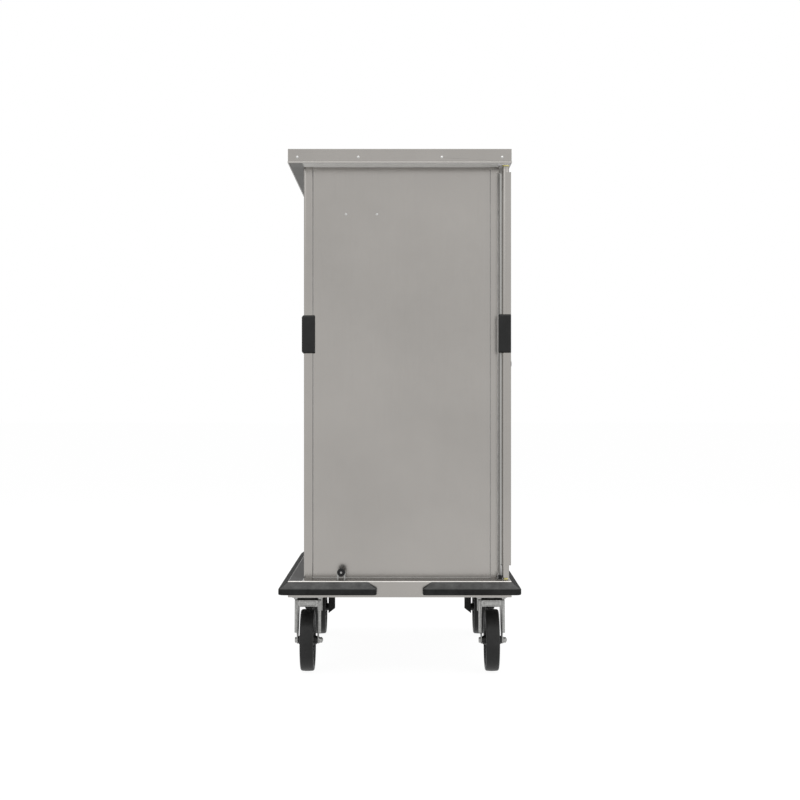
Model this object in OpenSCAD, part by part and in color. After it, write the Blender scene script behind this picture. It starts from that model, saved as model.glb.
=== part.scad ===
// Enclosed meal tray cart with two doors, two tray bays and four swivel casters.
// X runs from the back wall to the doors, Y from end to end, Z up from the floor.
// The origin lies on the floor under the middle of the base.

/* [Plan and height] */
// Size of roof and base from the back edge to the door face
plan_x = 712; // [660:1:780]
// Size of roof and base from end to end
plan_y = 1200; // [1120:1:1280]
// Height of the top of the roof above the floor
top_z = 1677; // [1600:1:1760]
// How far roof and base reach past the back wall
back_overhang = 45.5; // [30:0.5:60]
// How far roof and base reach past the door frame
front_overhang = 43.7; // [42:0.1:56]
// How far roof and base reach past each end wall
end_overhang = 93; // [90:0.5:110]

/* [Base] */
// Height of the folded edge of the base
deck_h = 52; // [44:1:60]
// Sheet of the base
deck_t = 2; // [1.5:0.1:3]
// How far the caster channels reach below the folded edge
channel_drop = 8; // [4:1:12]
// Width of a caster channel
channel_w = 140; // [128:1:170]
// Wall of a caster channel
channel_t = 3; // [2:0.1:5]
// Width of the two long members between the caster channels
member_w = 40; // [30:1:60]
// Height of those members
member_h = 30; // [20:1:40]
// Distance of those members from the middle line
member_x = 180; // [120:1:210]

/* [Bumper] */
// How far the bumper stands out from the base
bumper_out = 30; // [22:1:40]
// Height of the bumper's upright face
bumper_face = 20.5; // [16:0.5:26]
// Height of the bumper's lower edge above the lower edge of the base
bumper_low = 9.5; // [2:0.5:12]
// How far the top of the bumper's slope lies below the deck
bumper_sink = 3; // [1:0.5:6]
// Radius of the bumper's upright corners
bumper_r = 20; // [8:1:24]
// Half of the gap between the two bumpers on each end
bumper_gap = 73.4; // [40:0.1:120]
// Radius of the upper corner at a bumper's end
bumper_end_r = 18; // [6:1:19]

/* [Walls] */
// Sheet of the outer and inner wall skins
wall_t = 1.2; // [0.8:0.1:2]
// Distance from the outer skin to the inner skin
wall_gap = 30.5; // [30.5:0.5:36]
// Width of a rear corner post
post_w = 29; // [24:1:29]
// Outer corner radius of a rear corner post
post_r = 7; // [3:0.5:10]
// Wall of a rear corner post
post_t = 2; // [1.5:0.1:3]
// How far the end walls sit back from the posts
panel_in = 2; // [1:0.1:4]
// Sheet of the door frame
frame_t = 2; // [1.5:0.1:3]
// Depth of the door frame from front to back
frame_d = 18.6; // [16:0.1:24]
// Width of the frame's stiles at the two ends
stile_w = 37; // [34:1:46]
// Width of the stile between the two doors
middle_w = 40; // [36:1:50]
// Height of the frame's sill
sill_h = 50; // [44:1:60]
// Height of the frame's head
head_h = 42; // [36:1:50]
// Height of the inner floor above the base
floor_rise = 38; // [24:1:42]
// Depth of the inner ceiling below the roof
ceiling_drop = 32; // [20:1:36]
// Thickness of the wall between the bays
divider_t = 24; // [16:1:32]

/* [Roof] */
// Height of the roof's edge
roof_h = 45; // [38:1:56]
// Sheet of the roof
roof_t = 1.5; // [1:0.1:2]
// Thickness of the roof's doubled edge, where it is riveted
skirt_t = 3; // [2.5:0.1:4]
// Height of the rolled hem along the lower edge of the roof
hem_h = 6; // [4:0.5:10]
// How far that hem stands out
hem_out = 0.8; // [0.5:0.1:1.5]
// Height of the tray edge that the roof is riveted to
tray_lip = 30; // [24:1:34]
// Diameter of a rivet head
rivet_d = 6.5; // [5:0.1:8]
// Height of a rivet head
rivet_h = 1.6; // [1:0.1:2.5]
// Height of the roof rivets above the lower edge of the roof
rivet_z = 19; // [12:0.5:26]
// Depth of the wall rivets below the lower edge of the roof
wall_rivet_drop = 152; // [100:1:300]

/* [Tray rack] */
// Number of tray levels
levels = 10; // [6:1:10]
// Height of the lowest runner above the inner floor
first_level = 34; // [20:1:50]
// Height of the free space between the top level and the ceiling
top_space = 110; // [80:1:120]
// Length of a runner
runner_l = 540; // [480:1:560]
// Width of the ledge that a tray slides on
runner_w = 23; // [18:1:28]
// Height of the runner's edge below its ledge
runner_h = 16; // [10:1:24]
// Sheet of a runner
runner_t = 1.5; // [1.2:0.1:2.5]
// Depth of a rack upright, from its wall to the runners
upright_d = 40; // [30:1:46]
// Width of a rack upright
upright_w = 25; // [18:1:34]
// Wall of a rack upright
upright_t = 2; // [1.5:0.1:3]
// Distance of the uprights from the middle of the runner
upright_x = 200; // [150:1:225]

/* [Doors] */
// Thickness of a door leaf
leaf_t = 35; // [32:0.5:36]
// Gap between the two leaves
leaf_gap = 6; // [4:0.5:10]
// Height of the outer skin's lower edge above the base
leaf_low = 47; // [42:1:52]
// Depth of the leaf's upper edge below the roof
leaf_high = 25; // [18:1:32]
// Height of the inner skin's lower edge above the base
apron_low = 14; // [8:1:20]
// Sheet of the outer skin
skin_t = 1.5; // [1:0.1:2]
// Sheet of the inner skin
pan_t = 1.2; // [0.8:0.1:2]
// Depth of the outer skin's folded edges
skin_fold = 28; // [18:1:30]
// Distance of the hinge axis behind the door face
hinge_in = 16.8; // [15.5:0.1:18]
// Distance of the hinge axis from the end of the base
hinge_end = 38; // [34:0.5:42]
// Outer diameter of the hinge tube
tube_d = 22.4; // [20:0.1:24]
// Diameter of the hinge pins
pin_d = 12; // [8:0.5:14]
// Length of a hinge pin inside the tube
pin_l = 28; // [20:1:40]
// Diameter of the lower brass collar
collar_d = 15; // [14.5:0.5:22]
// Height of the lower brass collar
collar_h = 7; // [4:0.5:10]
// Height of the upper brass collar
top_collar_h = 12; // [6:0.5:16]
// Width of the door seal
seal_w = 10; // [8:0.5:14]
// Distance of the door seal from the end wall
seal_in = 12; // [8:0.5:20]

/* [Latch] */
// Height of the latch above the base
latch_z = 700; // [500:1:900]
// Distance of the latch axis from the middle line between the doors
latch_y = 62; // [56:1:70]
// Diameter of the latch spindle
spindle_d = 10; // [8:0.5:12]
// Diameter of the plate that the lever turns in
rose_d = 50; // [40:1:60]
// Thickness of that plate
rose_h = 6; // [4:0.5:8]
// Length of the lever from its axis
lever_l = 120; // [90:1:140]
// Width of the lever
lever_w = 22; // [18:1:26]
// Thickness of the lever's grip
lever_t = 12; // [9:0.5:14]
// Diameter of the lever's neck
neck_d = 20; // [16:1:22]
// Height of the lever's neck under the grip
neck_h = 9; // [6:0.5:11]
// Length of the latch tongue from its axis
tongue_l = 50; // [46:0.5:54]
// Width of the latch tongue
tongue_w = 14; // [10:0.5:18]
// Thickness of the latch tongue
tongue_t = 4; // [3:0.5:5]

/* [Hold-open catch] */
// Distance of the catch from the middle line of the base
catch_x = 187.5; // [170:0.5:200]
// Height of the catch's centre above the base
catch_z = 24.5; // [20:0.5:27]
// Diameter of the rubber-covered magnet
magnet_d = 25.6; // [20:0.1:28]
// Thickness of the magnet
magnet_h = 13; // [8:0.5:14]
// Diameter of the magnet's steel core
core_d = 7; // [5:0.5:12]
// Sheet of the catch bracket
bracket_t = 2; // [1.5:0.1:3]

/* [Corner pads] */
// Height of the pads' lower edge above the base
pad_z = 727; // [500:1:900]
// Height of a corner pad
pad_h = 123; // [90:1:160]
// Thickness of a corner pad
pad_t = 6.4; // [4:0.1:8]
// Length of a rear pad's two legs
pad_leg = 42.7; // [36:0.1:50]
// Width of the pad on a door hinge, past the tube towards the frame
pad_past = 12.5; // [8:0.5:14]

/* [Casters] */
// Diameter of a wheel
wheel_d = 200; // [180:1:206]
// Width of a tyre
tyre_w = 44; // [38:1:50]
// Depth of the rubber on a wheel
tyre_depth = 20; // [14:1:28]
// Radius of the tyre's shoulders
shoulder_r = 7; // [4:0.5:10]
// Length of a hub
hub_l = 60; // [56:1:66]
// Diameter of a hub's boss
boss_d = 25; // [22:1:34]
// Height of a caster above the top of its wheel
caster_top = 42; // [40:1:50]
// Distance from the swivel axis back to the wheel axle
trail = 55; // [45:1:65]
// Distance of a swivel axis from the middle line
caster_x = 298; // [280:1:300]
// Distance of a swivel axis from the end of the base
caster_end = 160; // [140:1:180]
// Caster plate across the cart
plate_x = 100; // [90:1:110]
// Caster plate along the cart
plate_y = 125; // [110:1:126]
// Thickness of a caster plate
plate_t = 5; // [4:0.5:6]
// Bolt spacing across the cart
bolt_x = 76; // [70:1:84]
// Bolt spacing along the cart
bolt_y = 100; // [92:1:104]
// Diameter of the caster bolts
bolt_d = 8; // [6:1:9]
// Diameter of the upper ball race
race_d = 66; // [56:1:74]
// Height of the upper ball race
race_h = 7.5; // [5:0.5:9]
// Diameter of the kingpin
king_d = 14; // [12:0.5:18]
// Sheet of a fork
fork_t = 4.5; // [3:0.5:5]
// Width of a fork over its flanges
fork_w = 86; // [82:1:92]
// Height of a fork's crown
crown_h = 23; // [18:1:26]
// Length of a fork's crown ahead of the swivel axis
crown_front = 52; // [46:1:58]
// Length of a fork's crown behind the swivel axis
crown_back = 40; // [34:1:46]
// Diameter of a wheel axle
axle_d = 12; // [10:0.5:14]
// Radius of the fork's rounded end below the axle
fork_end_r = 12; // [11:0.5:16]

/* [Brakes] */
// Thickness of a brake lever's cheek
cheek_t = 12; // [8:1:14]
// Diameter of the pin that a brake lever turns on
brake_pin_d = 8; // [6:0.5:10]
// Distance of the brake pin from the swivel axis, towards the axle
brake_back = 28; // [24:1:34]
// Height of the brake pin above the axle
brake_up = 62; // [60:1:66]
// Height of the raised tread's underside above the axle
tread_up = 83; // [83:1:88]
// Length of the tread
tread_l = 40; // [30:1:50]
// Thickness of the tread
tread_t = 8; // [6:1:10]

/* [Clearances] */
// Clearance on the radius of a shaft in its bore
run_fit = 0.05; // [0.02:0.01:0.1]
// Gap between faces that move past or rest against each other
face_gap = 0.3; // [0.2:0.05:0.5]

/* [Hidden] */
$fn = 64;

steel = [0.64, 0.63, 0.61];
bright_steel = [0.72, 0.72, 0.71];
black = [0.13, 0.13, 0.13];
rubber = [0.18, 0.18, 0.18];
brass = [0.80, 0.72, 0.35];

// Planes of the body
mount_z = wheel_d + caster_top;
half_x = plan_x / 2;
half_y = plan_y / 2;
back_x = -half_x + back_overhang;
front_x = half_x - front_overhang;
end_y = half_y - end_overhang;
panel_y = end_y - panel_in;
frame_x = front_x - frame_d;
edge_z = mount_z + channel_drop;
deck_z = edge_z + deck_h;
soffit_z = top_z - roof_h;
liner_x = back_x + wall_gap;
liner_y = panel_y - wall_gap;
floor_z = deck_z + floor_rise;
ceiling_z = soffit_z - ceiling_drop;
level_pitch = (ceiling_z - floor_z - first_level - runner_h - top_space) / (levels - 1);

// Planes of a door
face_x = half_x;
axis_x = face_x - hinge_in;
axis_y = half_y - hinge_end;
tube_r = tube_d / 2;
pan_x = face_x - leaf_t;
leaf_z0 = deck_z + leaf_low;
leaf_z1 = soffit_z - leaf_high;
tube_z0 = deck_z + collar_h + face_gap;
tube_z1 = soffit_z - top_collar_h - face_gap;
free_y = leaf_gap / 2;
web_y = axis_y - tube_r - face_gap;
lever_z = deck_z + latch_z;
seal_d = pan_x - front_x - face_gap;

// Planes of a caster, measured from its swivel axis and the floor
swivel_y = half_y - caster_end;
wheel_r = wheel_d / 2;
rim_r = wheel_r - tyre_depth;
plate_z = mount_z - plate_t;
crown_z = plate_z - race_h - face_gap;
leg_x = hub_l / 2 + 1.2;
axle_bore = axle_d + 2 * run_fit;

// A box between two opposite corners
module block(a, b) {
    translate(a) cube(b - a);
}

// The children, and the same again on the far half of the cart
module both_ends() {
    children();
    mirror([0, 1, 0]) children();
}

// The children, and the same again on the other side of the middle plane
module both_sides() {
    children();
    mirror([1, 0, 0]) children();
}

// An upright prism with rounded corners, size [x, y, z], standing on the plane z
module rounded_prism(size, r, z) {
    translate([0, 0, z]) {
        block([-size[0] / 2 + r, -size[1] / 2, 0], [size[0] / 2 - r, size[1] / 2, size[2]]);
        block([-size[0] / 2, -size[1] / 2 + r, 0], [size[0] / 2, size[1] / 2 - r, size[2]]);
        for (sx = [-1, 1], sy = [-1, 1])
            translate([sx * (size[0] / 2 - r), sy * (size[1] / 2 - r), 0])
                cylinder(r = r, h = size[2]);
    }
}

// ---------- Base ----------

module base_deck() {
    color(steel) difference() {
        block([-half_x, -half_y, edge_z], [half_x, half_y, deck_z]);
        block([-half_x + deck_t, -half_y + deck_t, edge_z - 1],
            [half_x - deck_t, half_y - deck_t, deck_z - deck_t]);
    }
}

// One channel per pair of casters, open upwards against the deck
module caster_channel() {
    channel_x = half_x - deck_t - 4;
    difference() {
        block([-channel_x, -swivel_y - channel_w / 2, mount_z],
            [channel_x, -swivel_y + channel_w / 2, deck_z - deck_t]);
        block([-channel_x + channel_t, -swivel_y - channel_w / 2 + channel_t, mount_z + channel_t],
            [channel_x - channel_t, -swivel_y + channel_w / 2 - channel_t, deck_z]);
        for (sx = [-1, 1]) translate([sx * caster_x, -swivel_y, 0]) bolt_holes(mount_z - 1, channel_t + 2);
    }
}

module long_member() {
    reach = swivel_y - channel_w / 2;
    translate([member_x, 0, deck_z - deck_t - member_h / 2]) difference() {
        cube([member_w, 2 * reach, member_h], center = true);
        cube([member_w - 2 * channel_t, 2 * reach - 2, member_h - 2 * channel_t], center = true);
    }
}

module chassis_frame() {
    color(steel) {
        both_ends() caster_channel();
        both_sides() long_member();
    }
}

// ---------- Bumper ----------

// Section of the bumper across one axis: upright face, slope, flat underside
module bumper_section(half) {
    z0 = edge_z + bumper_low;
    polygon([[-half - bumper_out, z0], [half + bumper_out, z0],
        [half + bumper_out, z0 + bumper_face], [half, deck_z - bumper_sink],
        [-half, deck_z - bumper_sink], [-half - bumper_out, z0 + bumper_face]]);
}

module bumper_ring() {
    reach = max(half_x, half_y) + 2 * bumper_out;
    difference() {
        intersection() {
            rotate([90, 0, 0]) linear_extrude(2 * reach, center = true) bumper_section(half_x);
            rotate([90, 0, 90]) linear_extrude(2 * reach, center = true) bumper_section(half_y);
            rounded_prism([plan_x + 2 * bumper_out, plan_y + 2 * bumper_out, deck_h], bumper_r, edge_z);
        }
        block([-half_x, -half_y, edge_z - 1], [half_x, half_y, deck_z + 1]);
    }
}

// What separates the back bumper from the front one, with rounded upper corners
module bumper_break() {
    z0 = edge_z + bumper_low - 1;
    z1 = deck_z - bumper_sink;
    arc = [for (a = [0 : 10 : 90])
        [bumper_gap + bumper_end_r * (1 - cos(a)), z1 - bumper_end_r * (1 - sin(a))]];
    edge = concat([[bumper_gap, z0]], arc, [[bumper_gap + bumper_end_r, z1 + 1]]);
    back = [for (i = [len(edge) - 1 : -1 : 0]) [-edge[i][0], edge[i][1]]];
    rotate([90, 0, 0]) linear_extrude(plan_y + 4 * bumper_out, center = true)
        polygon(concat(edge, back));
}

module bumper_half(side) {
    reach = half_x + 2 * bumper_out;
    color(black) difference() {
        bumper_ring();
        bumper_break();
        block([side > 0 ? -reach : 0, -half_y - reach, edge_z - 1],
            [side > 0 ? 0 : reach, half_y + reach, deck_z + 1]);
    }
}

module bumper_back() bumper_half(-1);
module bumper_front() bumper_half(1);

// ---------- Walls ----------

// A square tube with one rounded corner, which points to the outside of the cart
module rear_post() {
    module section(w, r) {
        translate([0, r]) square([w, w - r]);
        translate([r, 0]) square([w - r, w]);
        translate([r, r]) circle(r = r);
    }
    translate([back_x, -end_y, deck_z]) linear_extrude(soffit_z - deck_z) difference() {
        section(post_w, post_r);
        translate([post_t, post_t]) section(post_w - 2 * post_t, post_r - post_t);
    }
}

module rear_posts() {
    color(steel) both_ends() rear_post();
}

// Outer skin of an end wall with its edges folded inwards against the post and the frame
module end_wall() {
    x0 = back_x + post_w;
    color(steel) difference() {
        block([x0, -panel_y, deck_z], [frame_x, -panel_y + wall_gap - wall_t, soffit_z]);
        block([x0 + wall_t, -panel_y + wall_t, deck_z + wall_t],
            [frame_x - wall_t, -panel_y + wall_gap, soffit_z - wall_t]);
        rivet_holes(wall_rivet_x, soffit_z - wall_rivet_drop, panel_y);
    }
}

module end_wall_near() end_wall();
module end_wall_far() mirror([0, 1, 0]) end_wall();

module back_wall() {
    y1 = end_y - post_w;
    color(steel) difference() {
        block([back_x + panel_in, -y1, deck_z], [back_x + post_w, y1, soffit_z]);
        block([back_x + panel_in + wall_t, -y1 + wall_t, deck_z + wall_t],
            [liner_x, y1 - wall_t, soffit_z - wall_t]);
    }
}

// Inner skin: one sheet folded round three sides of the cavity
module inner_liner() {
    color(bright_steel) difference() {
        block([liner_x - wall_t, -liner_y - wall_t, deck_z], [frame_x, liner_y + wall_t, soffit_z]);
        block([liner_x, -liner_y, deck_z - 1], [frame_x + 1, liner_y, soffit_z + 1]);
    }
}

// The inner floor stands on folded edges on the base
module floor_pan() {
    color(bright_steel) difference() {
        block([liner_x, -liner_y, deck_z], [frame_x, liner_y, floor_z]);
        block([liner_x + wall_t, -liner_y + wall_t, deck_z - 1],
            [frame_x - wall_t, liner_y - wall_t, floor_z - wall_t]);
    }
}

module ceiling_pan() {
    color(bright_steel) difference() {
        block([liner_x, -liner_y, ceiling_z], [frame_x, liner_y, soffit_z]);
        block([liner_x + wall_t, -liner_y + wall_t, ceiling_z + wall_t],
            [frame_x - wall_t, liner_y - wall_t, soffit_z + 1]);
    }
}

sill_z = deck_z + sill_h;
head_z = soffit_z - head_h;

// The middle of the opening cut into a slab, shrunk or grown all round by the size more
module opening_cut(more, x0, x1) {
    block([x0, -end_y + stile_w - more, sill_z - more], [x1, end_y - stile_w + more, head_z + more]);
}

// A folded frame round the doorways, open towards the walls behind it
module door_frame() {
    color(steel) difference() {
        block([frame_x, -end_y, deck_z], [front_x, end_y, soffit_z]);
        opening_cut(0, frame_x - 1, front_x + 1);
        difference() {
            block([frame_x - 1, -end_y + frame_t, deck_z + frame_t],
                [front_x - frame_t, end_y - frame_t, soffit_z - frame_t]);
            opening_cut(frame_t, frame_x - 2, front_x);
        }
    }
}

// Pockets in the middle stile that the latch tongues turn into
tongue_x = front_x - frame_d / 2 - 1;
pocket_d = middle_w / 2 - 6;
pocket_wall = 3;
pocket_up = tongue_w / 2 + 2;
pocket_down = 0.75 * tongue_l;

module middle_stile() {
    color(steel) difference() {
        block([frame_x, -middle_w / 2, sill_z], [front_x, middle_w / 2, head_z]);
        both_ends() block([frame_x + pocket_wall, -middle_w / 2 - 1, lever_z - pocket_down],
            [front_x - pocket_wall, -middle_w / 2 + pocket_d, lever_z + pocket_up]);
    }
}

module bay_divider() {
    color(bright_steel) difference() {
        block([liner_x, -divider_t / 2, floor_z], [frame_x, divider_t / 2, ceiling_z]);
        block([liner_x + wall_t, -divider_t / 2 + wall_t, floor_z - 1],
            [frame_x - wall_t, divider_t / 2 - wall_t, ceiling_z + 1]);
    }
}

// ---------- Roof ----------

rivet_hole = rivet_d / 2 + 2 * run_fit;
roof_rivet_x = [-326, -132, 134, 326];
wall_rivet_x = [-174, -74];

// Bores for a row of rivets along X, through walls that face -Y and +Y
module rivet_holes(row, z, y) {
    both_ends() for (x = row) translate([x, -y - 2, z]) rotate([-90, 0, 0])
        cylinder(d = rivet_hole, h = 8);
}

module roof_tray() {
    inner = skirt_t + roof_t;
    color(steel) difference() {
        block([-half_x + skirt_t, -half_y + skirt_t, soffit_z],
            [half_x - skirt_t, half_y - skirt_t, soffit_z + tray_lip]);
        block([-half_x + inner, -half_y + inner, soffit_z + roof_t],
            [half_x - inner, half_y - inner, soffit_z + tray_lip + 1]);
        rivet_holes(roof_rivet_x, soffit_z + rivet_z, half_y);
    }
}

module roof_lid() {
    color(steel) difference() {
        union() {
            block([-half_x, -half_y, soffit_z], [half_x, half_y, top_z]);
            block([-half_x - hem_out, -half_y - hem_out, soffit_z],
                [half_x + hem_out, half_y + hem_out, soffit_z + hem_h]);
        }
        block([-half_x + skirt_t, -half_y + skirt_t, soffit_z - 1],
            [half_x - skirt_t, half_y - skirt_t, soffit_z + tray_lip + 1]);
        block([-half_x + roof_t, -half_y + roof_t, soffit_z + tray_lip],
            [half_x - roof_t, half_y - roof_t, top_z - roof_t]);
        rivet_holes(roof_rivet_x, soffit_z + rivet_z, half_y);
    }
}

// A domed rivet head with a short shank, on a wall that faces -Y
module rivet(shank) {
    rotate([90, 0, 0]) rotate_extrude() {
        intersection() {
            translate([0, rivet_h - (pow(rivet_d / 2, 2) + pow(rivet_h, 2)) / (2 * rivet_h)])
                circle(r = (pow(rivet_d / 2, 2) + pow(rivet_h, 2)) / (2 * rivet_h));
            square([rivet_d, rivet_h]);
        }
        translate([0, -shank]) square([rivet_d / 4, shank]);
    }
}

module rivets() {
    color(bright_steel) both_ends() {
        for (x = roof_rivet_x) translate([x, -half_y, soffit_z + rivet_z]) rivet(skirt_t + roof_t + 1);
        for (x = wall_rivet_x) translate([x, -panel_y, soffit_z - wall_rivet_drop]) rivet(wall_t + 1);
    }
}

// ---------- Tray rack ----------

// One rack side: children are placed at the near wall of the near bay
module rack_sides() {
    translate([0, -liner_y, 0]) children();
    translate([0, -divider_t / 2, 0]) mirror([0, 1, 0]) children();
}

module rack_upright() {
    difference() {
        block([-upright_w / 2, 0, floor_z], [upright_w / 2, upright_d, ceiling_z]);
        block([-upright_w / 2 + upright_t, upright_t, floor_z - 1],
            [upright_w / 2 - upright_t, upright_d - upright_t, ceiling_z + 1]);
    }
}

// An angle whose ledge faces the bay on top of an edge that hangs on the uprights
module runner() {
    difference() {
        block([-runner_l / 2, 0, 0], [runner_l / 2, runner_w, runner_h]);
        block([-runner_l / 2 - 1, runner_t, -1], [runner_l / 2 + 1, runner_w + 1, runner_h - runner_t]);
    }
}

module rack_uprights() {
    color(bright_steel) both_ends() rack_sides() for (sx = [-1, 1])
        translate([sx * upright_x, 0, 0]) rack_upright();
}

module runners_near() {
    color(bright_steel) rack_sides() for (i = [0 : levels - 1])
        translate([0, upright_d, floor_z + first_level + i * level_pitch]) runner();
}

module runners_far() mirror([0, 1, 0]) runners_near();

// ---------- Doors: all drawn for the near leaf, mirrored for the far one ----------

// Brass pins: a lower one on the base and an upper one under the roof
module hinge_pins() {
    color(brass) both_ends() translate([axis_x, -axis_y, 0]) {
        translate([0, 0, deck_z]) cylinder(d = collar_d, h = collar_h);
        translate([0, 0, deck_z]) cylinder(d = pin_d, h = collar_h + pin_l);
        translate([0, 0, soffit_z - top_collar_h]) cylinder(d = tube_d, h = top_collar_h);
        translate([0, 0, soffit_z - top_collar_h - pin_l]) cylinder(d = pin_d, h = pin_l + 1);
    }
}

module hinge_tube() {
    color(steel) translate([axis_x, -axis_y, 0]) difference() {
        translate([0, 0, tube_z0]) cylinder(d = tube_d, h = tube_z1 - tube_z0);
        translate([0, 0, tube_z0 - 1]) cylinder(d = pin_d + 2 * run_fit, h = tube_z1 - tube_z0 + 2);
    }
}

// Outer skin: a sheet folded in on three sides and hemmed beside the hinge tube
module door_skin() {
    hem_depth = hinge_in - tube_r;
    edge_y = -axis_y - tube_r;
    color(steel) difference() {
        union() {
            block([face_x - skin_t, edge_y, leaf_z0], [face_x, -free_y, leaf_z1]);
            block([face_x - hem_depth, edge_y, leaf_z0], [face_x, edge_y + 8, leaf_z1]);
            block([face_x - skin_fold, -free_y - skin_t, leaf_z0], [face_x, -free_y, leaf_z1]);
            for (z = [leaf_z0, leaf_z1 - skin_t])
                block([face_x - skin_fold, -web_y, z], [face_x, -free_y, z + skin_t]);
        }
        latch_axis() cylinder(d = spindle_d + 2, h = 3 * leaf_t, center = true);
    }
}

// Inner skin: its edges fold against the outer skin, and its apron hangs lower than the leaf
module door_pan() {
    free = -free_y - skin_t;
    back = face_x - skin_t;
    z0 = leaf_z0 + skin_t;
    z1 = leaf_z1 - skin_t;
    color(bright_steel) difference() {
        union() {
            block([pan_x, -web_y, deck_z + apron_low], [pan_x + pan_t, free, z1]);
            block([pan_x, -web_y, z0], [back, -web_y + pan_t, z1]);
            block([pan_x, free - pan_t, z0], [back, free, z1]);
            for (z = [z0, z1 - pan_t]) block([pan_x, -web_y, z], [back, free, z + pan_t]);
        }
        latch_axis() cylinder(d = spindle_d + 2, h = 3 * leaf_t, center = true);
    }
}

// A rubber seal round the edge of the leaf, which closes on the frame
module door_seal() {
    y0 = -end_y + seal_in;
    y1 = -middle_w / 2 + seal_w + 3;
    z0 = deck_z + apron_low + 6;
    z1 = leaf_z1 - skin_t - 6;
    color(rubber) difference() {
        block([pan_x - seal_d, y0, z0], [pan_x, y1, z1]);
        block([pan_x - seal_d - 1, y0 + seal_w, z0 + seal_w], [pan_x + 1, y1 - seal_w, z1 - seal_w]);
    }
}

// A pad that wraps the hinge tube at the height of other carts
module door_pad() {
    x0 = axis_x - tube_r - pad_past;
    y0 = -axis_y - tube_r - pad_t;
    color(black) difference() {
        union() {
            block([x0, y0, deck_z + pad_z], [face_x, -axis_y - tube_r, deck_z + pad_z + pad_h]);
            block([x0, y0, deck_z + pad_z], [axis_x, -axis_y - tube_r / 3, deck_z + pad_z + pad_h]);
        }
        translate([axis_x, -axis_y, deck_z]) cylinder(r = tube_r + run_fit, h = soffit_z - deck_z);
        for (z = [0, 1]) translate([0, y0, deck_z + pad_z + z * pad_h]) rotate([45, 0, 0])
            cube([2 * plan_x, pad_t, pad_t], center = true);
    }
}

// ---------- Latch ----------

module latch_axis() {
    translate([face_x, -latch_y, lever_z]) rotate([0, 90, 0]) children();
}

module latch_rose() {
    color(black) latch_axis() difference() {
        rotate_extrude() polygon([[0, 0], [rose_d / 2, 0], [rose_d / 2, rose_h - 2],
            [rose_d / 2 - 2, rose_h], [0, rose_h]]);
        translate([0, 0, -1]) cylinder(d = spindle_d + 2 * run_fit, h = rose_h + 2);
    }
}

// The lever lies level when the latch is open and hangs down when it is shut
module latch_lever() {
    z0 = rose_h + face_gap;
    tip = lever_l - lever_w / 2;
    color(black) latch_axis() difference() {
        union() {
            translate([0, 0, z0]) cylinder(d = neck_d, h = neck_h + 1);
            translate([0, 0, z0 + neck_h]) {
                cylinder(d = lever_w, h = lever_t);
                translate([0, -tip, 0]) cylinder(d = lever_w, h = lever_t);
                block([-lever_w / 2, -tip, 0], [lever_w / 2, 0, lever_t]);
            }
        }
        translate([0, 0, z0 - 1]) cylinder(d = spindle_d + 2 * run_fit, h = neck_h + 1);
        for (sx = [-1, 1]) translate([sx * lever_w / 2, -lever_l / 2, z0 + neck_h + lever_t])
            rotate([0, 45, 0]) cube([4, 2 * lever_l, 4], center = true);
    }
}

// Spindle through the leaf with the tongue on its inner end, which hangs down when open
module latch_tongue() {
    color(bright_steel) {
        translate([tongue_x, -latch_y, lever_z]) rotate([0, 90, 0])
            cylinder(d = spindle_d, h = face_x + rose_h + face_gap + neck_h - tongue_x);
        translate([tongue_x - tongue_t / 2, -latch_y, lever_z]) rotate([0, 90, 0]) {
            cylinder(d = tongue_w, h = tongue_t);
            translate([tongue_l - tongue_w / 2, 0, 0]) cylinder(d = tongue_w, h = tongue_t);
            block([0, -tongue_w / 2, 0], [tongue_l - tongue_w / 2, tongue_w / 2, tongue_t]);
        }
    }
}

module door_skin_near() door_skin();
module door_pan_near() door_pan();
module hinge_tube_near() hinge_tube();
module door_seal_near() door_seal();
module door_pad_near() door_pad();
module latch_rose_near() latch_rose();
module latch_lever_near() latch_lever();
module latch_tongue_near() latch_tongue();
module door_skin_far() mirror([0, 1, 0]) door_skin();
module door_pan_far() mirror([0, 1, 0]) door_pan();
module hinge_tube_far() mirror([0, 1, 0]) hinge_tube();
module door_seal_far() mirror([0, 1, 0]) door_seal();
module door_pad_far() mirror([0, 1, 0]) door_pad();
module latch_rose_far() mirror([0, 1, 0]) latch_rose();
module latch_lever_far() mirror([0, 1, 0]) latch_lever();
module latch_tongue_far() mirror([0, 1, 0]) latch_tongue();

// ---------- Hold-open catch ----------

// The open leaf's apron comes to rest against the magnet's face
magnet_y = -axis_y - (axis_x - pan_x) + pan_t + face_gap;

module catch_bracket() {
    w = magnet_d + 1.4;
    back = magnet_y + magnet_h;
    translate([-catch_x, 0, deck_z]) {
        difference() {
            union() {
                block([-w / 2, back, 0], [w / 2, back + bracket_t, catch_z + 4]);
                block([-w / 2, magnet_y, 0], [w / 2, back + bracket_t, bracket_t]);
            }
            block([-w / 2 + 5, magnet_y - 1, -1], [w / 2 - 5, back + bracket_t + 1, catch_z - magnet_d / 2]);
        }
        translate([0, magnet_y, catch_z]) rotate([-90, 0, 0]) {
            cylinder(d = core_d, h = magnet_h + 1);
            translate([0, 0, magnet_h + bracket_t - 1]) cylinder(d = 10, h = 5, $fn = 6);
        }
    }
}

module catch_magnet() {
    translate([-catch_x, magnet_y, deck_z + catch_z]) rotate([-90, 0, 0]) difference() {
        cylinder(d = magnet_d, h = magnet_h);
        translate([0, 0, -1]) cylinder(d = core_d + 2 * run_fit, h = magnet_h + 2);
    }
}

module catch_brackets() color(bright_steel) both_ends() catch_bracket();
module catch_magnets() color(rubber) both_ends() catch_magnet();

// ---------- Corner pads ----------

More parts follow.
